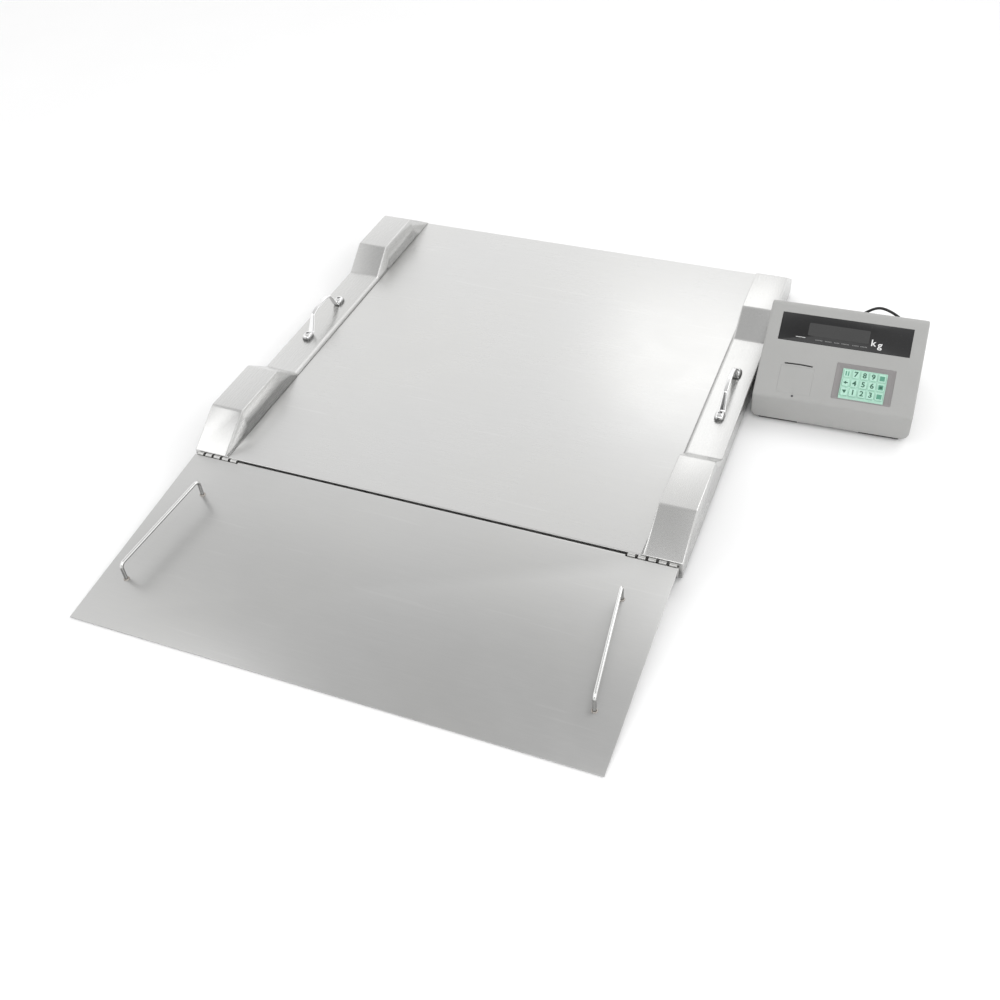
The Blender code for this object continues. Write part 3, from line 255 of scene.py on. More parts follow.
class Nodes:
    """A node tree built step by step. Inputs are given as numbers, tuples or other nodes' sockets."""

    def __init__(self, tree):
        self.tree = tree

    def put(self, node, inputs):
        for key, value in inputs.items():
            if isinstance(value, bpy.types.NodeSocket):
                self.tree.links.new(value, node.inputs[key])
            else:
                node.inputs[key].default_value = value

    def node(self, kind, inputs, **settings):
        made = self.tree.nodes.new(kind)
        for key, value in settings.items():
            setattr(made, key, value)
        self.put(made, inputs)
        return made

    def span(self, value, low=0.3, high=0.7, out_low=0.0, out_high=1.0):
        inputs = {"Value": value, "From Min": low, "From Max": high, "To Min": out_low, "To Max": out_high}
        return self.node("ShaderNodeMapRange", inputs).outputs["Result"]

    def calc(self, operation, a, b):
        return self.node("ShaderNodeMath", {0: a, 1: b}, operation=operation).outputs["Value"]

    def mix(self, factor, a, b):
        a, b = ((*colour, 1) if isinstance(colour, tuple) else colour for colour in (a, b))
        inputs = {"Factor": factor, "A": a, "B": b}
        return self.node("ShaderNodeMix", inputs, data_type="RGBA").outputs["Result"]


class Look(Nodes):
    """A node material. Its patterns follow the piece, in metres."""

    def __init__(self, name, colour, roughness, metallic=0.0):
        self.mat = bpy.data.materials.new(name)
        self.mat.use_nodes = True
        super().__init__(self.mat.node_tree)
        self.shader = self.tree.nodes["Principled BSDF"]
        self.put(self.shader, {"Base Color": (*colour, 1), "Roughness": roughness, "Metallic": metallic})
        self.coords = self.node("ShaderNodeTexCoord", {}).outputs["Object"]

    def set(self, socket, value):
        self.put(self.shader, {socket: value})

    def space(self, scale=(1, 1, 1), turn=(0, 0, 0)):
        inputs = {"Vector": self.coords, "Scale": scale, "Rotation": turn}
        return self.node("ShaderNodeMapping", inputs).outputs["Vector"]

    def noise(self, scale, detail=2.0, rough=0.5, stretch=(1, 1, 1), turn=(0, 0, 0), warp=0.0):
        inputs = {"Vector": self.space(stretch, turn), "Scale": scale, "Detail": detail}
        inputs.update({"Roughness": rough, "Distortion": warp})
        return self.node("ShaderNodeTexNoise", inputs).outputs["Fac"]

    def cells(self, scale, feature="F1", output="Distance"):
        inputs = {"Vector": self.space(), "Scale": scale}
        return self.node("ShaderNodeTexVoronoi", inputs, feature=feature).outputs[output]

    def upward(self, low, high):
        """How far the surface faces up."""
        normal = self.node("ShaderNodeTexCoord", {}).outputs["Normal"]
        split = self.node("ShaderNodeSeparateXYZ", {"Vector": normal})
        return self.span(split.outputs["Z"], low, high)

    def bump(self, height, strength, distance):
        inputs = {"Height": height, "Strength": strength, "Distance": distance}
        self.set("Normal", self.node("ShaderNodeBump", inputs).outputs["Normal"])


def shade(colour, factor):
    return tuple(c * factor for c in colour)


def steel(name, colour, roughness, along="Y", grain=0.05, smudge=0.05):
    """Sheet stainless with a fine directional finish, faint handling marks and stray scratches."""
    look = Look(name, colour, roughness, 1.0)
    stretch = {"X": (0.02, 1, 1), "Y": (1, 0.02, 1)}[along]
    short = {"X": (0.05, 1, 1), "Y": (1, 0.05, 1)}[along]
    fine = look.noise(1400, 3, 0.6, stretch)
    bands = look.noise(160, 2, 0.5, stretch)
    marks = look.noise(7, 4, 0.55, warp=0.6)
    cloud = look.noise(2.2, 2, 0.5)
    scratch = look.noise(90, 1, 0.4, short, (0.2, 0.3, 0.4))
    lines = look.span(scratch, 0.70, 0.74)
    tone = look.mix(look.span(fine), shade(colour, 1 - grain), shade(colour, 1 + grain))
    tone = look.mix(look.span(bands, 0.3, 0.7, 0.0, 0.5), tone, shade(colour, 1 - grain * 0.8))
    warm = (colour[0], colour[1] * 0.995, colour[2] * 0.975)
    tone = look.mix(look.span(cloud, 0.35, 0.65, 0.0, 0.35), tone, warm)
    tone = look.mix(look.calc("MULTIPLY", lines, 0.25), tone, shade(colour, 1.12))
    look.set("Base Color", tone)
    rough = look.span(fine, 0.3, 0.7, roughness - 0.03, roughness + 0.03)
    rough = look.calc("ADD", rough, look.span(marks, 0.42, 0.68, 0.0, smudge))
    look.set("Roughness", rough)
    look.bump(look.calc("ADD", fine, look.calc("MULTIPLY", bands, 0.6)), 0.06, 0.0001)
    return look.mat


def polished(name, colour, roughness, painted_side_shade=1.0):
    """Mirror-bright metal with slight haze. Its steep sides are painted darker by the given factor, as
    painted shade.
    """
    look = Look(name, colour, roughness, 1.0)
    haze = look.noise(60, 3, 0.6)
    wear = look.noise(500, 2, 0.5, (1, 0.15, 1))
    hazy = look.span(haze, 0.4, 0.7, roughness, roughness + 0.07)
    look.set("Roughness", look.calc("ADD", hazy, look.span(wear, 0.55, 0.7, 0.0, 0.05)))
    tone = look.mix(look.span(haze), shade(colour, 0.95), colour)
    # painted shade: the colour darkens where the surface turns away from facing up
    look.set("Base Color", look.mix(look.upward(0.15, 0.75), shade(colour, painted_side_shade), tone))
    look.bump(wear, 0.03, 0.0001)
    return look.mat


def rod_steel(name, colour=(0.78, 0.78, 0.77), roughness=0.16):
    """Drawn round bar: colour painted darker underneath, as painted shade; smoother on top, rougher
    underneath.
    """
    look = Look(name, colour, roughness, 1.0)
    drawn = look.noise(900, 2, 0.5, (1, 0.05, 1))
    upper = look.upward(-0.15, 0.45)
    tone = look.mix(look.span(drawn), shade(colour, 0.93), colour)
    # painted shade: the colour turns darker where the surface faces down
    look.set("Base Color", look.mix(upper, shade(colour, 0.36), tone))
    dull = look.span(upper, 0, 1, 0.34, roughness)
    look.set("Roughness", look.calc("ADD", dull, look.span(drawn, 0.3, 0.7, 0.0, 0.04)))
    look.bump(drawn, 0.03, 0.0001)
    return look.mat


def moulded(name, colour, roughness=0.55, texture=700, depth=0.25, mottle=0.04, warmth=0.0):
    """Moulded plastic: fine spark texture, slow colour drift, slight scuffing."""
    look = Look(name, colour, roughness)
    grit = look.noise(texture, 3, 0.6)
    drift = look.noise(9, 3, 0.5)
    scuff = look.noise(38, 4, 0.65, warp=0.8)
    tone = look.mix(look.span(drift), shade(colour, 1 - mottle), shade(colour, 1 + mottle))
    worn = (colour[0] * (0.90 + warmth), colour[1] * 0.89, colour[2] * (0.87 - warmth))
    tone = look.mix(look.span(scuff, 0.60, 0.78, 0.0, 0.35), tone, worn)
    tone = look.mix(look.span(grit, 0.35, 0.65, 0.0, 0.12), tone, shade(colour, 0.86))
    look.set("Base Color", tone)
    scuffed = look.span(scuff, 0.4, 0.7, roughness - 0.05, roughness + 0.08)
    look.set("Roughness", look.calc("ADD", scuffed, look.span(grit, 0.3, 0.7, -0.03, 0.03)))
    look.bump(grit, depth, 0.00015)
    return look.mat


def galvanised(name, colour=(0.50, 0.50, 0.49)):
    look = Look(name, colour, 0.42, 0.9)
    flakes = look.cells(70, output="Color")
    spangle = look.node("ShaderNodeSeparateColor", {"Color": flakes}).outputs["Red"]
    grime = look.noise(12, 5, 0.65)
    tone = look.mix(spangle, shade(colour, 0.85), shade(colour, 1.12))
    look.set("Base Color", look.mix(look.span(grime, 0.5, 0.8, 0.0, 0.4), tone, (0.22, 0.20, 0.17)))
    flaky = look.span(spangle, 0, 1, 0.32, 0.5)
    look.set("Roughness", look.calc("ADD", flaky, look.span(grime, 0.5, 0.8, 0.0, 0.25)))
    return look.mat


def speckled(name, first, second, pattern, tone, rough, grit=None, bump=(0.1, 0.0001), metallic=0.0):
    """Two tones and a roughness range that follow one noise pattern, and optionally a grain."""
    look = Look(name, first, rough[2], metallic)
    spots = look.noise(*pattern)
    look.set("Base Color", look.mix(look.span(spots, *tone), first, second))
    look.set("Roughness", look.span(spots, *rough))
    if grit:
        look.bump(look.noise(*grit), *bump)
    return look


def rubber(name, colour):
    dust = (0.075, 0.072, 0.066)
    grit = (1200, 2, 0.5)
    rough = (0.3, 0.8, 0.72, 0.95)
    return speckled(name, colour, dust, (45, 5, 0.7), (0.45, 0.75, 0, 0.5), rough, grit, (0.3, 0.0002)).mat


def silicone(name, colour):
    pale = shade(colour, 0.95)
    rough = (0.3, 0.7, 0.42, 0.55)
    look = speckled(name, pale, colour, (60, 3, 0.5), (0.3, 0.7), rough, (1600, 2, 0.5), (0.08, 0.0001))
    look.put(look.shader, {"Subsurface Weight": 0.12, "Subsurface Radius": (0.002, 0.003, 0.002)})
    return look.mat


def printed(name, colour):
    rough = (0.3, 0.7, 0.52, 0.68)
    dark, light = shade(colour, 0.8), shade(colour, 1.15)
    return speckled(name, dark, light, (900, 3, 0.6), (0.3, 0.7), rough).mat


def glossy_panel(name, colour, roughness=0.12):
    """Back-printed acrylic: even colour below a clear, slightly dusty face."""
    look = Look(name, colour, 0.35)
    dust = look.noise(320, 4, 0.7)
    wipe = look.noise(16, 3, 0.5, (1, 0.2, 1))
    look.set("Base Color", look.mix(look.span(dust, 0.55, 0.8, 0.0, 0.06), colour, (0.3, 0.3, 0.3)))
    look.set("Roughness", look.span(wipe, 0.3, 0.7, 0.3, 0.4))
    look.put(look.shader, {"Specular IOR Level": 0.3, "Coat Weight": 0.22, "Coat Roughness": roughness})
    return look.mat


def circuit(name):
    look = Look(name, (0.03, 0.20, 0.08), 0.4)
    cell = look.cells(420, "DISTANCE_TO_EDGE")
    tracks = look.span(cell, 0.03, 0.06)
    look.set("Base Color", look.mix(tracks, (0.10, 0.36, 0.16), (0.02, 0.15, 0.06)))
    look.set("Roughness", look.span(cell, 0, 0.3, 0.3, 0.5))
    look.bump(tracks, 0.2, 0.0001)
    return look.mat


def paper(name):
    rough = (0.3, 0.7, 0.8, 0.92)
    tones = ((0.80, 0.80, 0.76), (0.90, 0.90, 0.87))
    return speckled(name, *tones, (900, 5, 0.7), (0.3, 0.7), rough, (2600, 1, 0.4), (0.2, 0.0001)).mat


def jacket(name):
    rough = (0.3, 0.8, 0.45, 0.68)
    tones = ((0.011, 0.011, 0.011), (0.045, 0.045, 0.042))
    tone = (0.5, 0.75, 0, 0.3)
    return speckled(name, *tones, (25, 4, 0.6), tone, rough, (700, 3, 0.6), (0.15, 0.0001)).mat


def weld(name):
    rough = (0.3, 0.7, 0.28, 0.5)
    tones = ((0.52, 0.50, 0.47), (0.34, 0.30, 0.27))
    tint = (260, 3, 0.6)
    return speckled(name, *tones, tint, (0.35, 0.7), rough, tint, (0.4, 0.0003), 1.0).mat


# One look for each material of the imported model, by its name there, and the ones added here
LOOKS = {
    "satin_stainless": steel("satin_sheet", (0.585, 0.585, 0.58), 0.26, "Y", 0.035, 0.02),
    "ramp": steel("satin_ramp", (0.52, 0.52, 0.515), 0.33, "X", 0.035, 0.03),
    "brushed_stainless": steel("brushed_deck", (0.61, 0.61, 0.605), 0.29, "X", 0.035, 0.03),
    "polished_stainless": polished("polished_metal", (0.80, 0.80, 0.80), 0.08),
    # end caps: steep sides painted down to 0.22 of the colour, as painted shade
    "chrome": polished("bright_cap", (0.80, 0.80, 0.80), 0.05, 0.22),
    # ramp handle rods, with painted shade underneath
    "rod": rod_steel("polished_rod"),
    "hinge_steel": steel("hinge_sheet", (0.55, 0.55, 0.54), 0.30, "X"),
    # hinge pin: near-black, as painted shade in the gaps between the knuckles
    "pin": steel("oiled_pin", (0.06, 0.058, 0.055), 0.38, "X"),
    "weld": weld("weld_bead"),
    # screw wells: a near-black finish as painted shade
    "grime": rubber("groove_grime", (0.012, 0.012, 0.012)),
    "bare_channel": galvanised("zinc_channel"),
    "nickel_plate": steel("nickel_block", (0.58, 0.56, 0.52), 0.34, "Y"),
    "black_rubber": rubber("dusty_rubber", (0.022, 0.022, 0.022)),
    "grey_plastic": moulded("box_plastic", (0.27, 0.27, 0.28), 0.5, 900, 0.2),
    "black_jacket": jacket("cable_jacket"),
    "grey_casing": moulded("case_plastic", (0.367, 0.367, 0.359), 0.58, 800, 0.22, 0.02),
    "keypad_surround": moulded("keypad_plastic", (0.25, 0.238, 0.238), 0.58, 800, 0.22, 0.02),
    "smoked_acrylic": glossy_panel("smoked_face", (0.008, 0.008, 0.0085)),
    "display_glass": glossy_panel("display_filter", (0.048, 0.048, 0.048), 0.16),
    "mint_silicone": silicone("mint_rubber", (0.43, 0.68, 0.56)),
    "ink": printed("key_ink", (0.028, 0.11, 0.07)),
    "ink_soft": printed("key_ink_soft", (0.10, 0.30, 0.21)),
    "white": printed("panel_print", (0.72, 0.72, 0.72)),
    "faint": printed("panel_print_grey", (0.22, 0.22, 0.22)),
    "circuit_board": circuit("circuit_laminate"),
    "thermal_paper": paper("receipt_paper"),
    "dark_mechanism": moulded("dark_plastic", (0.045, 0.045, 0.05), 0.45, 900, 0.2),
}

SLOTS = {}


def dress_nodes():
    """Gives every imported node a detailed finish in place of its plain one, whose name is kept in SLOTS."""
    for name, node in frame["nodes"].items():
        for place in node.material_slots:
            SLOTS[name] = place.material.name.split(".")[0]
            place.material = LOOKS[SLOTS[name]]


# ---- mesh tools


def rectangle(x0, y0, x1, y1):
    return [(x0, y0), (x1, y0), (x1, y1), (x0, y1)]


def prism(outline, start, end, axis="X"):
    """A closed outline drawn out along an axis. The outline is (y, z) for X and (x, y) for Z."""
    bm = bmesh.new()
    point = (lambda a, b: (start, a, b)) if axis == "X" else (lambda a, b: (a, b, start))
    base = bm.faces.new([bm.verts.new(point(a, b)) for a, b in outline])
    grown = bmesh.ops.extrude_face_region(bm, geom=[base])["geom"]
    verts = [v for v in grown if isinstance(v, bmesh.types.BMVert)]
    vec = (end - start, 0, 0) if axis == "X" else (0, 0, end - start)
    bmesh.ops.translate(bm, verts=verts, vec=vec)
    return bm


def box(low, high):
    return prism(rectangle(low[0], low[1], high[0], high[1]), low[2], high[2], "Z")


def circle(count):
    """Cosine and sine of evenly spaced turns."""
    turns = [2 * math.pi * k / count for k in range(count)]
    return [(math.cos(t), math.sin(t)) for t in turns]


def bridge(bm, near, far):
    for k in range(len(near)):
        m = (k + 1) % len(near)
        bm.faces.new((near[k], near[m], far[m], far[k]))


def through(rings):
    """A closed shape through rings of points, flat at both ends."""
    bm = bmesh.new()
    rings = [[bm.verts.new(p) for p in ring] for ring in rings]
    for near, far in zip(rings, rings[1:]):
        bridge(bm, near, far)
    bm.faces.new(rings[0])
    bm.faces.new(rings[-1])
    return bm


def superellipse(c, s, width, length, power):
    """A point of a rounded rectangle, from the cosine and sine of its turn."""
    return (
        math.copysign(abs(c) ** power, c) * width / 2,
        math.copysign(abs(s) ** power, s) * length / 2,
    )


def evaluated(obj):
    """The mesh of an object with its modifiers applied. The object is removed."""
    bpy.context.view_layer.update()
    graph = bpy.context.evaluated_depsgraph_get()
    mesh = bpy.data.meshes.new_from_object(obj.evaluated_get(graph), depsgraph=graph)
    bpy.data.objects.remove(obj)
    return mesh


def smoothed(mesh, sharp):
    """The mesh with smooth shading, apart from edges that turn more than the given angle."""
    mesh.shade_smooth()
    mesh.set_sharp_from_angle(angle=math.radians(sharp))
    return mesh


def editable(mesh):
    bm = bmesh.new()
    bm.from_mesh(mesh)
    return bm


def finish_mesh(bm, sharp=35, outward=True):
    if outward:
        bmesh.ops.recalc_face_normals(bm, faces=bm.faces)
    mesh = bpy.data.meshes.new("mesh")
    bm.to_mesh(mesh)
    bm.free()
    return smoothed(mesh, sharp)


def linked(name, data):
    obj = bpy.data.objects.new(name, data)
    bpy.context.scene.collection.objects.link(obj)
    return obj


def temp_object(bm):
    return linked("tool", finish_mesh(bm))


def solid(bm, joins=(), cuts=(), sharp=35):
    """The mesh of a shape after other shapes are joined to it and cut from it."""
    body = temp_object(bm)
    tools = []
    for operation, shapes in (("UNION", joins), ("DIFFERENCE", cuts)):
        for shape in shapes:
            tool = temp_object(shape)
            tools.append(tool)
            step = body.modifiers.new("step", "BOOLEAN")
            step.operation = operation
            step.solver = "EXACT"
            step.object = tool
    mesh = evaluated(body)
    for tool in tools:
        bpy.data.objects.remove(tool)
    return smoothed(mesh, sharp)


def piece(name, mesh, matrix, node, look=None, replaces=True):
    """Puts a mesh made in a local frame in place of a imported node, on that node's body."""
    mesh.transform(matrix)
    mesh.name = name
    if not mesh.materials:
        mesh.materials.append(LOOKS[look or SLOTS[node]])
    obj = linked(name, mesh)
    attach(obj, frame["nodes"][node].parent.name.removeprefix("body:"))
    if replaces:
        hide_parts(node)
    return obj


def rounded_path(points, radius, steps=8):
    """A polyline whose inner corners are replaced by arcs."""
    points = [Vector(p) for p in points]
    path = [points[0]]
    for before, corner, after in zip(points, points[1:], points[2:]):
        back = (before - corner).normalized()
        ahead = (after - corner).normalized()
        half = back.angle(ahead) / 2
        reach = radius / math.tan(half)
        centre = corner + (back + ahead).normalized() * radius / math.sin(half)
        first = corner + back * reach - centre
        last = corner + ahead * reach - centre
        sweep = math.pi - 2 * half
        for i in range(steps + 1):
            turned = sweep * i / steps
            spoke = first * math.sin(sweep - turned) + last * math.sin(turned)
            path.append(centre + spoke / math.sin(sweep))
    return path + [points[-1]]


def tube(path, radius, sides):
    """A round rod along a path, with flat ends."""
    path = [Vector(p) for p in path]
    last = len(path) - 1
    tangents = [(path[min(i + 1, last)] - path[max(i - 1, 0)]).normalized() for i in range(len(path))]
    across = tangents[0].orthogonal().normalized()
    rings = []
    for i, (point, tangent) in enumerate(zip(path, tangents)):
        if i:
            across = tangents[i - 1].rotation_difference(tangent) @ across
        other = tangent.cross(across)
        rings.append([point + (across * c + other * s) * radius for c, s in circle(sides)])
    return through(rings)


# ---- platform sheet metal


def bend_weight(a, b):
    """How generously the fold between two corners of a side cover is rounded."""
    if abs(a.y - b.y) > SAME_PLACE:
        return 0.55
    upright = abs(a.z - b.z) > 0.03
    seam = max(a.z, b.z) < DECK_TOP + SHEET
    return 0.4 if upright or seam else 1.0


def side_cover(name, side):
    """One folded sheet: outer wall, rail and housing tops with rounded bends, inner wall, end walls."""
    bm = bmesh.new()
    half = [(0, SEAM_Z), (SLOPE_END, HOUSING_TOP), (FLAT_END, HOUSING_TOP), (INNER_SLOPE_END, RAIL_TOP)]
    rings = []
    for y, top in half + [(LENGTH - y, top) for y, top in reversed(half)]:
        section = [(0, WALL_BOTTOM), (0, top), (RAIL_TOP_WIDTH, top), (RAIL_FOOT_WIDTH, SEAM_Z)]
        rings.append([bm.verts.new((side * (HALF_WIDTH - d), y, z)) for d, z in section])
    for near, far in zip(rings, rings[1:]):
        for i in range(3):
            bm.faces.new((near[i], near[i + 1], far[i + 1], far[i]))
    for ring, y in ((rings[0], 0), (rings[-1], LENGTH)):
        foot = bm.verts.new((side * (HALF_WIDTH - RAIL_FOOT_WIDTH), y, WALL_BOTTOM))
        bm.faces.new((*ring, foot))
    layer = bm.edges.layers.float.new("bevel_weight_edge")
    for edge in bm.edges:
        if len(edge.link_faces) < 2:
            continue
        edge[layer] = bend_weight(*(v.co for v in edge.verts))
    mesh = finish_mesh(bm, 40)
    cover = piece(f"{name}_sheet", mesh, PLATFORM, name)
    step = cover.modifiers.new("bends", "BEVEL")
    step.limit_method = "WEIGHT"
    step.width = COVER_BEND
    step.segments = 4
    wall = cover.modifiers.new("sheet", "SOLIDIFY")
    wall.thickness = SHEET
    wall.offset = -1
    wall.use_even_offset = True


def deck_sheet():
    """Walking surface with rolled front and back edges, tucked below the side covers."""
    corner = 0.003
    foot = DECK_FLANGE_BOTTOM
    outline = [(0, 0, foot), (0, 0, DECK_TOP), (0, LENGTH, DECK_TOP), (0, LENGTH, foot)]
    outer = rounded_path(outline, corner)
    under = DECK_TOP - DECK_PLATE
    inner = [(LENGTH - SHEET, foot), (LENGTH - SHEET, under), (SHEET, under), (SHEET, foot)]
    plate = prism([(p.y, p.z) for p in outer] + inner, -DECK_HALF, DECK_HALF)
    reach = DECK_HALF + DECK_TUCK
    margin = SHEET + GAP
    tuck = box((-reach, margin, under), (reach, LENGTH - margin, DECK_TOP - TUCK_DROP))
    mesh = solid(plate, joins=[tuck])
    piece("deck_sheet", mesh, PLATFORM, "deck_plate")


def grip_line():
    """Middle line of a rail handle's grip as (y, z) points, from its front end to its back end."""
    end = CAP_SPACING / 2 - CAP_POCKET_SETBACK
    steps = 24
    arch = []
    for i in range(steps + 1):
        y = GRIP_CORNER * (2 * i / steps - 1)
        arch.append((0, y, GRIP_RISE + GRIP_ARCH * (1 - (y / GRIP_CORNER) ** 2)))
    half = [(0, -end, GRIP_SEAT), (0, -GRIP_SHOULDER, GRIP_SEAT), arch[0], arch[3]]
    front = rounded_path(half, 0.0055, 5)[:-1]
    back = [Vector((0, -p.y, p.z)) for p in reversed(front)]
    return front + [Vector(p) for p in arch[3:-3]] + back


def rail_handle(name, side):
    """A springy metal band, broad where it enters its caps and waisted along the hand's grip."""
    waist = 0.42
    line = grip_line()
    last = len(line) - 1
    rings = []
    for i, point in enumerate(line):
        tangent = (line[min(i + 1, last)] - line[max(i - 1, 0)]).normalized()
        normal = Vector((0, -tangent.z, tangent.y))
        lift = max(0.0, min(1.0, (point.z - GRIP_SEAT) / (GRIP_RISE - GRIP_SEAT)))
        width = GRIP_WIDTH * (1 - waist * lift)
        thick = GRIP_THICK * (0.62 + 0.2 * lift)
        section = [superellipse(c, s, width, thick, 0.55) for c, s in circle(20)]
        rings.append([point + Vector((x, 0, 0)) + normal * n for x, n in section])
    at = PLATFORM @ Matrix.Translation((side * (HALF_WIDTH - HANDLE_INSET), HANDLE_Y, RAIL_TOP))
    mesh = finish_mesh(through(rings), 50)
    piece(f"{name}_band", mesh, at, name)


def turned(profile, at, sides):
    """A (radius, height) profile turned about an upright axis, flat at both ends."""
    x, y, z = at
    return through([[(x + r * c, y + r * s, z + h) for c, s in circle(sides)] for r, h in profile])


def handle_cap(name, side, end):
    """A domed end cap, held by one cross-head screw."""
    w, l, h = CAP_SIZE
    levels = 14
    rings = []
    for j in range(levels):
        rise = j / (levels - 1) * math.pi / 2 * 0.97
        shrink = max(0.0, math.cos(rise)) ** 0.62
        z = h * math.sin(rise) ** 0.9
        section = [superellipse(c, s, w, l, 0.62) for c, s in circle(48)]
        rings.append([(x * shrink, y * shrink, z) for x, y in section])
    floor = h - SCREW_SINK
    well = tube([(0, 0, floor), (0, 0, h + 0.01)], SCREW_RADIUS + SCREW_WELL, 40)
    mesh = solid(through(rings), cuts=[well], sharp=40)
    r = SCREW_RADIUS
    tall = SCREW_SINK + 0.0004
    pan = [(r, 0), (r, tall * 0.45), (r * 0.86, tall * 0.85), (r * 0.62, tall)]
    head = turned(pan, (0, 0, floor - 0.0008), 32)
    bars = (SCREW_CROSS, SCREW_CROSS[::-1])
    recesses = [box((-x, -y, floor + 0.0004), (x, y, h + 0.01)) for x, y in bars]
    mesh = solid(editable(mesh), joins=[head], cuts=recesses, sharp=40)
    mesh.materials.append(LOOKS["chrome"])
    mesh.materials.append(LOOKS["grime"])
    # faces inside each screw well get the near-black painted-shade finish
    for face in mesh.polygons:
        radius = math.hypot(face.center.x, face.center.y)
        in_well = radius < SCREW_RADIUS + 0.0010 and h * 0.5 < face.center.z < h - 0.0006
        if in_well and (face.center.z < floor + 0.0006 or radius > SCREW_RADIUS + 0.0003):
            face.material_index = 1
    x = side * (HALF_WIDTH - HANDLE_INSET)
    at = Matrix.Translation((x, HANDLE_Y + end * CAP_SPACING / 2, RAIL_TOP + GAP))
    piece(f"{name}_dome", mesh, PLATFORM @ at, name)


def build_platform():
    deck_sheet()
    for name, side in (("left", -1), ("right", 1)):
        side_cover(f"{name}_side_cover", side)
        rail_handle(f"{name}_rail_handle", side)
        for end_name, end in (("front", -1), ("back", 1)):
            handle_cap(f"{name}_handle_{end_name}_cap", side, end)


# ---- ramp and hinges


def ramp_depth(y):
    """Height of the ribs' lower edge in the ramp's frame, just above the floor."""
    return -(HINGE_Z - RIB_FLOOR_GAP + y * math.sin(RAMP_TILT)) / math.cos(RAMP_TILT)


def soften(bm, width, segments=2, angle=30):
    """Rounds every edge that turns more than the given angle."""
    bmesh.ops.recalc_face_normals(bm, faces=bm.faces)
    edges = [e for e in bm.edges if e.calc_face_angle(0) > math.radians(angle)]
    bmesh.ops.bevel(bm, geom=edges, offset=width, segments=segments, profile=0.5, affect="EDGES")


def ramp_sheet():
    """Walk-up plate with eased edges, tapering ribs and two cross bars below."""
    half = HINGE_INNER - HINGE_CLEARANCE
    right = [(RAMP_HALF, -RAMP_REACH), (RAMP_HALF, HINGE_NOTCH), (half, HINGE_NOTCH), (half, RAMP_EDGE)]
    outline = [(-RAMP_HALF, -RAMP_REACH), *right, *((-x, y) for x, y in right[:0:-1])]
    plate = prism(outline, RAMP_UNDER, RAMP_TOP, "Z")
    soften(plate, 0.0007)
    sink = RAMP_UNDER + WELD_OVERLAP
    end = -RAMP_REACH + RIB_STOP
    start_depth = ramp_depth(RIB_START)
    section = [(RIB_START, sink), (RIB_START, start_depth), (end, ramp_depth(end)), (end, sink)]
    extras = []
    for i in range(-2, 3):
        x = i * (RAMP_HALF - RIB_INSET) / 2
        extras.append(prism(section, x - RIB_THICK / 2, x + RIB_THICK / 2))
    reach = RAMP_HALF - RIB_INSET + WELD_OVERLAP
    for setback in CROSS_BARS:
        y = RIB_START - setback
        low = (-reach, y - RIB_THICK, ramp_depth(y) + CROSS_BAR_RISE)
        extras.append(box(low, (reach, y, sink)))
    mesh = solid(plate, joins=extras)
    piece("ramp_sheet", mesh, RAMP, "ramp_plate", "ramp")


def weld_ring(bm, centre, radius, seed):
    """A lumpy bead of weld round the foot of a rod."""
    draw = random.Random(seed)
    x, y, z = centre
    rings = []
    for c, s in circle(40):
        size = WELD_SIZE * draw.uniform(0.85, 1.2)
        ring = []
        for out, up in circle(8):
            r = radius + size * out * 0.9
            ring.append(bm.verts.new((x + r * c, y + r * s, z + size * up)))
        rings.append(ring)
    for near, far in zip(rings, rings[1:] + rings[:1]):
        bridge(bm, near, far)


def ramp_handle(name, side):
    """A bent round rod, welded upright on the ramp."""
    lean = Vector((0, math.sin(RAMP_GRIP_LEAN), math.cos(RAMP_GRIP_LEAN))) * RAMP_GRIP_RISE
    foot = RAMP_TOP - 0.0004
    far = Vector((side * RAMP_GRIP_FAR[0], RAMP_GRIP_FAR[1], foot))
    near = Vector((side * RAMP_GRIP_NEAR[0], RAMP_GRIP_NEAR[1], foot))
    path = rounded_path([far, far + lean, near + lean, near], RAMP_GRIP_BEND, 10)
    mesh = finish_mesh(tube(path, RAMP_GRIP_ROD, 20), 50)
    piece(f"{name}_rod", mesh, RAMP, name, "rod")
    beads = bmesh.new()
    for i, centre in enumerate((far, near)):
        weld_ring(beads, (centre.x, centre.y, RAMP_TOP), RAMP_GRIP_ROD + 0.0010, 11 + i + side)
    piece(f"{name}_welds", finish_mesh(beads, 60), RAMP, name, "weld", replaces=False)


def barrel(x0, x1, radius, bore, sides=32):
    """A knuckle: a short tube about X with eased ends."""
    ease = 0.0004
    profile = [(bore, x0), (radius - ease, x0), (radius, x0 + ease)]
    profile += [(radius, x1 - ease), (radius - ease, x1), (bore, x1)]
    bm = bmesh.new()
    rings = [[bm.verts.new((x, r * c, r * s)) for c, s in circle(sides)] for r, x in profile]
    for near, far in zip(rings, rings[1:] + rings[:1]):
        bridge(bm, near, far)
    return bm


def knuckle_spans(side, own):
    """X ranges of the knuckles that belong to the platform's leaf (own 0) or the ramp's (own 1)."""
    pitch = (HINGE_OUTER - HINGE_INNER) / KNUCKLES
    spans = []
    for i in range(own, KNUCKLES, 2):
        start = HINGE_INNER + i * pitch
        xs = (start + KNUCKLE_GAP / 2, start + pitch - KNUCKLE_GAP / 2)
        spans.append(tuple(sorted(side * x for x in xs)))
    return spans


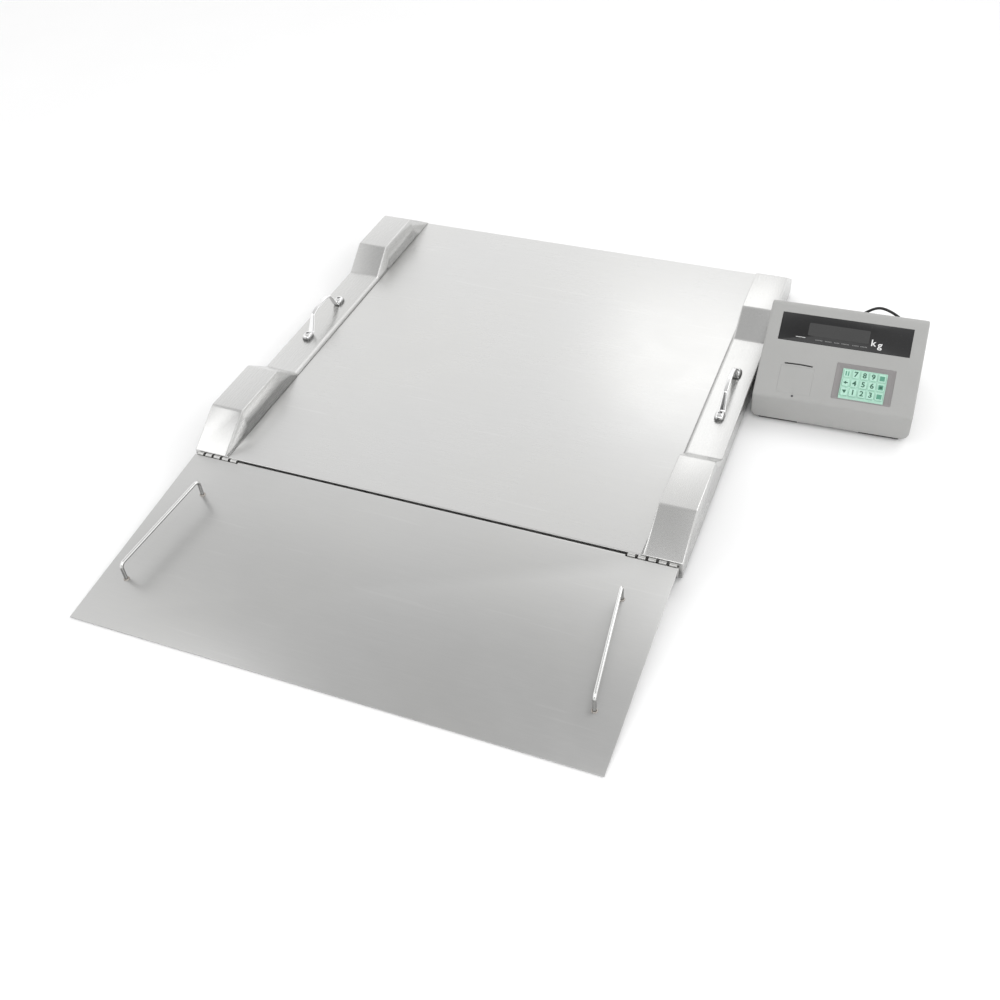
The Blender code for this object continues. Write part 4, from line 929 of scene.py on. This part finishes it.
def hinge_leaf(name, side, own, plate, tongue, matrix):
    """A leaf with its knuckles. plate and tongue are (y, z) boxes; a tongue joins each knuckle."""
    xs = sorted((side * HINGE_INNER, side * HINGE_OUTER))
    sheet = box((xs[0], plate[0], plate[1]), (xs[1], plate[2], plate[3]))
    soften(sheet, 0.0004)
    extras = []
    bores = []
    for x0, x1 in knuckle_spans(side, own):
        extras.append(box((x0, tongue[0], tongue[1]), (x1, tongue[2], tongue[3])))
        extras.append(barrel(x0, x1, KNUCKLE_RADIUS, PIN_RADIUS / 2))
        ends = [(x0 - 0.002, 0, 0), (x1 + 0.002, 0, 0)]
        bores.append(tube(ends, PIN_RADIUS + 0.0001, 32))
    mesh = solid(sheet, joins=extras, cuts=bores)
    piece(f"{name}_sheet", mesh, matrix, name)


def hinge_pin(name, side):
    xs = sorted((side * (HINGE_INNER - GAP), side * (HINGE_OUTER + GAP)))
    rod = tube([(xs[0], 0, 0), (xs[1], 0, 0)], PIN_RADIUS, 32)
    soften(rod, 0.0004)
    piece(f"{name}_rod", finish_mesh(rod), HINGE, name, "pin")


def build_ramp():
    ramp_sheet()
    back = -HINGE_Y - GAP
    front = back - LEAF
    top = RAMP_UNDER - GAP
    bottom = top - LEAF
    upright = (front, PLATFORM_LEAF[0], back, PLATFORM_LEAF[1])
    upright_tongue = (front, PLATFORM_TONGUE[0], back, PLATFORM_TONGUE[1])
    flat = (RAMP_LEAF[0], bottom, RAMP_LEAF[1], top)
    flat_tongue = (RAMP_TONGUE[0], bottom, RAMP_TONGUE[1], top)
    for name, side in (("left", -1), ("right", 1)):
        ramp_handle(f"{name}_ramp_handle", side)
        hinge_leaf(f"{name}_hinge_platform_leaf", side, 0, upright, upright_tongue, HINGE)
        hinge_leaf(f"{name}_hinge_ramp_leaf", side, 1, flat, flat_tongue, RAMP)
        hinge_pin(f"{name}_hinge_pin", side)


# ---- indicator


def loop_points(area, inset, radius, height, steps=6):
    """A rounded rectangle on the panel, as 3-D points."""
    x0, y0, x1, y1 = area[0] + inset, area[1] + inset, area[2] - inset, area[3] - inset
    r = max(0.00005, min(radius, (x1 - x0) / 2 - 1e-5, (y1 - y0) / 2 - 1e-5))
    low_x, high_x, low_y, high_y = x0 + r, x1 - r, y0 + r, y1 - r
    corners = ((high_x, low_y, -90), (high_x, high_y, 0), (low_x, high_y, 90), (low_x, low_y, 180))
    points = []
    for cx, cy, start in corners:
        for i in range(steps + 1):
            a = math.radians(start + 90 * i / steps)
            points.append((cx + r * math.cos(a), cy + r * math.sin(a), height))
    return points


def stack(area, levels, steps=6):
    """A closed shape through rounded rectangles; each level is (inset, corner radius, height)."""
    return through([loop_points(area, *level, steps) for level in levels])


def stack_mesh(area, levels, sharp=50):
    return finish_mesh(stack(area, levels), sharp)


def add_part(bm, mesh, index):
    """Adds a mesh to a bmesh with its own material index."""
    known = len(bm.faces)
    bm.from_mesh(mesh)
    bm.faces.ensure_lookup_table()
    for face in bm.faces[known:]:
        face.material_index = index
    bpy.data.meshes.remove(mesh)


def glyph(text, height, at, lift, depth=PRINT, bold=0.0004):
    """Printed characters as thin closed solids, centred at a place on the panel."""
    curve = bpy.data.curves.new("glyph", "FONT")
    curve.body = text
    curve.size = height
    curve.align_x = "CENTER"
    curve.align_y = "CENTER"
    curve.extrude = depth / 2
    curve.offset = bold
    curve.resolution_u = 4
    mesh = evaluated(linked("glyph", curve))
    mesh.transform(Matrix.Translation((*at, lift + depth / 2)))
    clean = editable(mesh)
    bmesh.ops.remove_doubles(clean, verts=clean.verts, dist=SAME_PLACE)
    clean.to_mesh(mesh)
    clean.free()
    return mesh


def bar_mesh(area, lift, depth=PRINT, radius=0.0004):
    return stack_mesh(area, [(0, radius, lift), (0, radius, lift + depth)])


def polygon_mesh(points, lift):
    return finish_mesh(prism(points, lift, lift + PRINT, "Z"))


def joined(parts, looks):
    """One mesh from several, each with its own finish."""
    bm = bmesh.new()
    for index, mesh in parts:
        add_part(bm, mesh, index)
    mesh = finish_mesh(bm, 50, outward=False)
    for look in looks:
        mesh.materials.append(LOOKS[look])
    return mesh


def slot_outline():
    """The paper slot on the panel: long, narrow and slightly bowed up the slope."""
    x0, y0, x1, y1 = SLOT
    steps = 12
    lower = []
    upper = []
    for i in range(steps + 1):
        t = i / steps
        bow = SLOT_BOW * (1 - (2 * t - 1) ** 2)
        lower.append((x0 + (x1 - x0) * t, y0 + bow))
        upper.append((x0 + (x1 - x0) * t, y1 + bow))
    return lower + upper[::-1]


def is_lower_side(edge):
    """One of the two lower edges that run front to back."""
    low = all(abs(v.co.z - CASE_BOTTOM) < SAME_PLACE for v in edge.verts)
    return low and abs(edge.verts[0].co.x - edge.verts[1].co.x) < SAME_PLACE


def shell_mesh():
    """The thin-walled casing before anything is cut from it, with generous lower corners."""
    front = [(0, CASE_BOTTOM), (0, FOLD_Z), (PANEL_RUN, CASE_TOP), (PANEL_RUN + CASE_RIDGE, CASE_TOP)]
    bm = prism([*front, (CASE_DEPTH, CASE_SHOULDER), (CASE_DEPTH, CASE_BOTTOM)], 0, CASE_WIDTH)
    bmesh.ops.recalc_face_normals(bm, faces=bm.faces)
    lower = [e for e in bm.edges if is_lower_side(e)]
    bmesh.ops.bevel(bm, geom=lower, offset=CASE_CORNER, segments=12, profile=0.5, affect="EDGES")
    soften(bm, CASE_EDGE, 5, 20)
    underside = [f for f in bm.faces if f.normal.z < -0.999]
    bmesh.ops.delete(bm, geom=underside, context="FACES")
    shell = temp_object(bm)
    wall = shell.modifiers.new("wall", "SOLIDIFY")
    wall.thickness = CASE_WALL
    wall.offset = -1
    return evaluated(shell)


def panel_openings():
    """Cutters for everything set into the sloping panel."""
    low, high = PANEL_CUT
    cutters = []
    for area, radius, grow in ((WINDOW, 0.0006, GAP), (RECESS, 0.003, GAP), (DOOR, 0.0006, GAP / 2)):
        cutters.append(stack(area, [(-grow, radius, low), (-grow, radius, high)], 5))
    cutters.append(prism(slot_outline(), low, high, "Z"))
    cutters.append(tube([(*LATCH, low), (*LATCH, high)], LATCH_RADIUS + GAP, 28))
    local = Matrix.Translation((0, 0, FOLD_Z)) @ Matrix.Rotation(PANEL_TILT, 4, "X")
    for cutter in cutters:
        bmesh.ops.transform(cutter, matrix=local, verts=cutter.verts)
    return cutters


def housing():
    """Upper shell with its openings, open below."""
    half_w, half_h = (size / 2 + SWITCH_CLEARANCE for size in SWITCH_SIZE)
    low = (SWITCH[0] - half_w, CASE_DEPTH - 0.010, SWITCH[1] - half_h)
    rear = box(low, (SWITCH[0] + half_w, CASE_DEPTH + 0.010, SWITCH[1] + half_h))
    mesh = solid(editable(shell_mesh()), cuts=[*panel_openings(), rear], sharp=32)
    piece("indicator_shell", mesh, INDICATOR, "indicator_housing")


def display_face():
    """Black back-printed window with a greyer display area, generic bars and the unit."""
    window = [(0, 0.0005, -WINDOW_THICK), (0, 0.0005, -0.0004), (0.0004, 0.0004, 0)]
    parts = [(0, stack_mesh(WINDOW, window))]
    parts.append((1, bar_mesh(DISPLAY, 0, 0.00006, 0.003)))
    parts.append((2, bar_mesh(NAME_BAR, 0)))
    low, high = STATUS_LINE
    for x0, x1 in STATUS_MARKS:
        count = round((x1 - x0) / STATUS_PITCH)
        step = (x1 - x0) / count
        for i in range(count):
            left = x0 + i * step
            area = (left, low, left + step * STATUS_FILL, high)
            parts.append((3, bar_mesh(area, 0, radius=0.0002)))
    for letter, place in UNIT_PLACES:
        parts.append((2, glyph(letter, UNIT_HEIGHT, place, 0, 0.0001)))
    mesh = joined(parts, ("smoked_acrylic", "display_glass", "white", "faint"))
    piece("display_face", mesh, PANEL, "display_window")


def keypad_tray():
    """Tray with sloping sides round the keypad mat."""
    levels = [
        (0, 0.003, -0.006),
        (0, 0.003, -0.0003),
        (0.0003, 0.0028, 0),
        (0.0010, 0.0024, -0.0002),
        (0.0070, 0.0015, RECESS_FLOOR),
    ]
    mesh = stack_mesh(RECESS, levels, 25)
    piece("keypad_tray", mesh, PANEL, "keypad_frame")


def keypad_sheet():
    levels = [
        (0, 0.0016, RECESS_FLOOR + GAP),
        (0, 0.0016, -0.0013),
        (0.0003, 0.0014, -0.0009),
        (0.0009, 0.0012, -0.0009),
        (0.0013, 0.0011, -0.0014),
    ]
    mesh = stack_mesh(MAT, levels, 60)
    piece("keypad_sheet", mesh, PANEL, "keypad_mat")


def key_marks(name, lift):
    """The print on one key: a digit, or a plain generic sign, about the key's middle."""
    if name in KEY_DIGITS:
        return [(1, glyph(KEY_DIGITS[name], DIGIT_HEIGHT, (0, 0), lift, bold=0.0005))]
    if name == "key_print":
        bars = ((-0.0042, -0.0058, -0.0014, 0.0058), (0.0014, -0.0058, 0.0042, 0.0058))
        return [(2, bar_mesh(bar, lift)) for bar in bars]
    if name == "key_total":
        upper = [(0.0008, 0.0044), (0.0008, 0.0014), (0.0050, 0.0014)]
        arrow = [(-0.0052, 0), *upper, *((x, -y) for x, y in reversed(upper))]
        return [(1, polygon_mesh(arrow, lift))]
    if name == "key_clear":
        return [(1, polygon_mesh([(-0.0050, 0.0040), (0.0050, 0.0052), (0.0010, -0.0048)], lift))]
    if name == "key_zero_set":
        field = bar_mesh((-0.0056, -0.0064, 0.0056, 0.0064), lift)
        return [(2, field), (1, bar_mesh((-0.0030, -0.0034, 0.0034, 0.0030), lift + PRINT))]
    return [(2, bar_mesh((-0.0056, -0.0066, 0.0056, 0.0054), lift))]


def build_keys():
    w, h = KEY_SIZE
    area = (-w / 2, -h / 2, w / 2, h / 2)
    levels = [(0, 0.0018, -KEY_TOP), (0, 0.0018, 0.0002), (0.0003, 0.0016, 0.0006), (0.0009, 0.0014, KEY_TOP)]
    for row, names in enumerate(KEY_NAMES):
        for column, name in enumerate(names):
            parts = [(0, stack_mesh(area, levels)), *key_marks(name, KEY_TOP)]
            mesh = joined(parts, ("mint_silicone", "ink", "ink_soft"))
            x = KEY_FIRST[0] + column * KEY_PITCH[0]
            y = KEY_FIRST[1] - row * KEY_PITCH[1]
            at = PANEL @ Matrix.Translation((x, y, 0))
            piece(f"{name}_cap", mesh, at, name)


def printer_lid():
    """Flush lid over the paper roll, with a thumb groove above the latch."""
    levels = [(0, 0.0008, -0.0026), (0, 0.0008, -0.00015), (0.00015, 0.0006, 0)]
    groove = stack(THUMB_GROOVE, [(0, 0.0003, -0.0004), (0, 0.0003, 0.001)], 4)
    mesh = solid(stack(DOOR, levels), cuts=[groove])
    piece("printer_lid", mesh, PANEL, "printer_door")


def printer_latch():
    profile = [
        (LATCH_RADIUS, -LATCH_DEPTH),
        (LATCH_RADIUS, 0.0001),
        (LATCH_RADIUS * 0.9, 0.0005),
        (LATCH_RADIUS * 0.55, 0.0006),
    ]
    mesh = finish_mesh(turned(profile, (*LATCH, 0), 28))
    piece("printer_latch_cap", mesh, PANEL, "printer_latch_button")


def smooth_path(points, steps=14):
    """Points along a Catmull-Rom curve through the given ones."""
    pts = [Vector(p) for p in points]
    pts = [pts[0] * 2 - pts[1], *pts, pts[-1] * 2 - pts[-2]]
    path = []
    for a, b, c, d in zip(pts, pts[1:], pts[2:], pts[3:]):
        for i in range(steps):
            t = i / steps
            bend = (2 * a - 5 * b + 4 * c - d) * t**2 + (3 * b - a - 3 * c + d) * t**3
            path.append(0.5 * (2 * b + (c - a) * t + bend))
    return path + [pts[-2]]


def signal_cable():
    """From the junction box, under the right side cover and round the back of the indicator."""
    local = PLATFORM.inverted() @ INDICATOR
    behind = CASE_DEPTH + CABLE_BEHIND
    lie = SIGNAL_RADIUS + GAP
    x, y, z = SIGNAL_START
    under = [
        (x, y, z),
        (x, y + 0.035, z),
        (x, y + 0.060, lie),
        (x + 0.012, SIGNAL_EXIT_Y - 0.060, lie),
        (x + 0.055, SIGNAL_EXIT_Y, lie),
        (HALF_WIDTH + 0.040, SIGNAL_EXIT_Y, lie),
    ]
    loop = [
        (0.280, behind + 0.028, lie),
        *((along, behind + back, up) for along, back, up in CABLE_LOOP),
        (PLUG[0], behind - 0.010, PLUG[1]),
        (PLUG[0], CASE_DEPTH + 0.006, PLUG[1]),
    ]
    path = smooth_path([Vector(p) for p in under] + [local @ Vector(p) for p in loop])
    for point in path:
        point.z = max(point.z, lie)
    rings = []
    for r, d in PLUG_PROFILE:
        y = CASE_DEPTH + GAP + d
        rings.append([local @ Vector((PLUG[0] + r * c, y, PLUG[1] + r * s)) for c, s in circle(32)])
    mesh = solid(tube(path, SIGNAL_RADIUS, 14), joins=[through(rings)])
    piece("signal_lead", mesh, PLATFORM, "signal_cable")


def build_indicator():
    housing()
    display_face()
    keypad_tray()
    keypad_sheet()
    build_keys()
    printer_lid()
    printer_latch()
    signal_cable()


# ---- staging


def camera():
    """Seen from above the ramp's right-hand corner, slightly rolled."""
    target = (-0.0514, -0.2049, 0)
    distance = 2.6002
    azimuth = 0.4212
    elevation = 0.7406
    roll = -0.0675
    data = bpy.data.cameras.new("view")
    data.lens = 41.3
    data.sensor_width = 36
    obj = linked("view", data)
    turn = Matrix.Rotation(azimuth, 4, "Z") @ Matrix.Rotation(math.pi / 2 - elevation, 4, "X")
    turn = turn @ Matrix.Rotation(roll, 4, "Z")
    obj.matrix_world = Matrix.Translation(target) @ turn @ Matrix.Translation((0, 0, distance))
    bpy.context.scene.camera = obj


def area_light(name, place, aim, size, power):
    data = bpy.data.lights.new(name, "AREA")
    data.shape = "RECTANGLE"
    data.size, data.size_y = size
    data.energy = power
    obj = linked(name, data)
    obj.location = place
    obj.rotation_euler = (Vector(aim) - Vector(place)).to_track_quat("-Z", "Y").to_euler()


def studio_world():
    """White cyclorama: bright at the horizon, greyer overhead, with darker flags; plain white behind."""
    world = bpy.data.worlds.new("studio")
    world.use_nodes = True
    nodes = Nodes(world.node_tree)
    coords = nodes.node("ShaderNodeTexCoord", {}).outputs["Generated"]
    split = nodes.node("ShaderNodeSeparateXYZ", {"Vector": coords})
    ramp = nodes.node("ShaderNodeValToRGB", {"Fac": split.outputs["Z"]})
    stops = ramp.color_ramp.elements
    stops[0].color = (*[SKY[0][1]] * 3, 1)
    stops[1].color = (*[SKY[-1][1]] * 3, 1)
    for position, grey in SKY[1:-1]:
        stops.new(position).color = (grey, grey, grey, 1)
    light = ramp.outputs["Color"]
    for direction, start, full, remains in FLAGS:
        toward = nodes.node("ShaderNodeVectorMath", {0: coords, 1: direction}, operation="DOT_PRODUCT")
        left = nodes.span(toward.outputs["Value"], start, full, 1.0, remains)
        flagged = nodes.node("ShaderNodeVectorMath", {0: light, "Scale": left}, operation="SCALE")
        light = flagged.outputs["Vector"]
    seen = nodes.node("ShaderNodeLightPath", {}).outputs["Is Camera Ray"]
    backdrop = nodes.mix(seen, light, (1, 1, 1))
    nodes.put(world.node_tree.nodes["Background"], {"Color": backdrop, "Strength": SKY_STRENGTH})
    bpy.context.scene.world = world


def studio():
    studio_world()
    area_light("key", (-0.16, 2.80, 1.85), (0.25, 0.37, 0.05), (1.0, 0.9), 2.2)
    area_light("left_card", (-2.86, -1.43, 3.28), (-0.74, -0.27, 0.08), (1.1, 1.1), 6.0)
    area_light("right_card", (1.55, 1.55, 1.86), (-0.65, -0.1, 0.05), (1.3, 1.0), 9.0)
    area_light("front", (1.5, -3.6, 3.9), (0, 0, 0), (4.4, 3.6), 66)
    floor_mesh = bmesh.new()
    half = FLOOR_HALF
    corners = rectangle(-half, -half, half, half)
    floor_mesh.faces.new([floor_mesh.verts.new((x, y, FLOOR_Z)) for x, y in corners])
    floor = linked("floor", finish_mesh(floor_mesh))
    surface = Look("pale_floor", (0.92, 0.92, 0.92), 0.7)
    tone = surface.noise(3, 2, 0.5)
    surface.set("Base Color", surface.mix(tone, (0.91, 0.91, 0.91), (0.93, 0.93, 0.93)))
    away = surface.node("ShaderNodeVectorMath", {0: surface.coords}, operation="LENGTH")
    surface.set("Emission Strength", surface.span(away.outputs["Value"], *FLOOR_FADE))
    floor.data.materials.append(surface.mat)
    bpy.context.scene.view_settings.view_transform = "Standard"


dress_nodes()
build_platform()
build_ramp()
build_indicator()
studio()
camera()
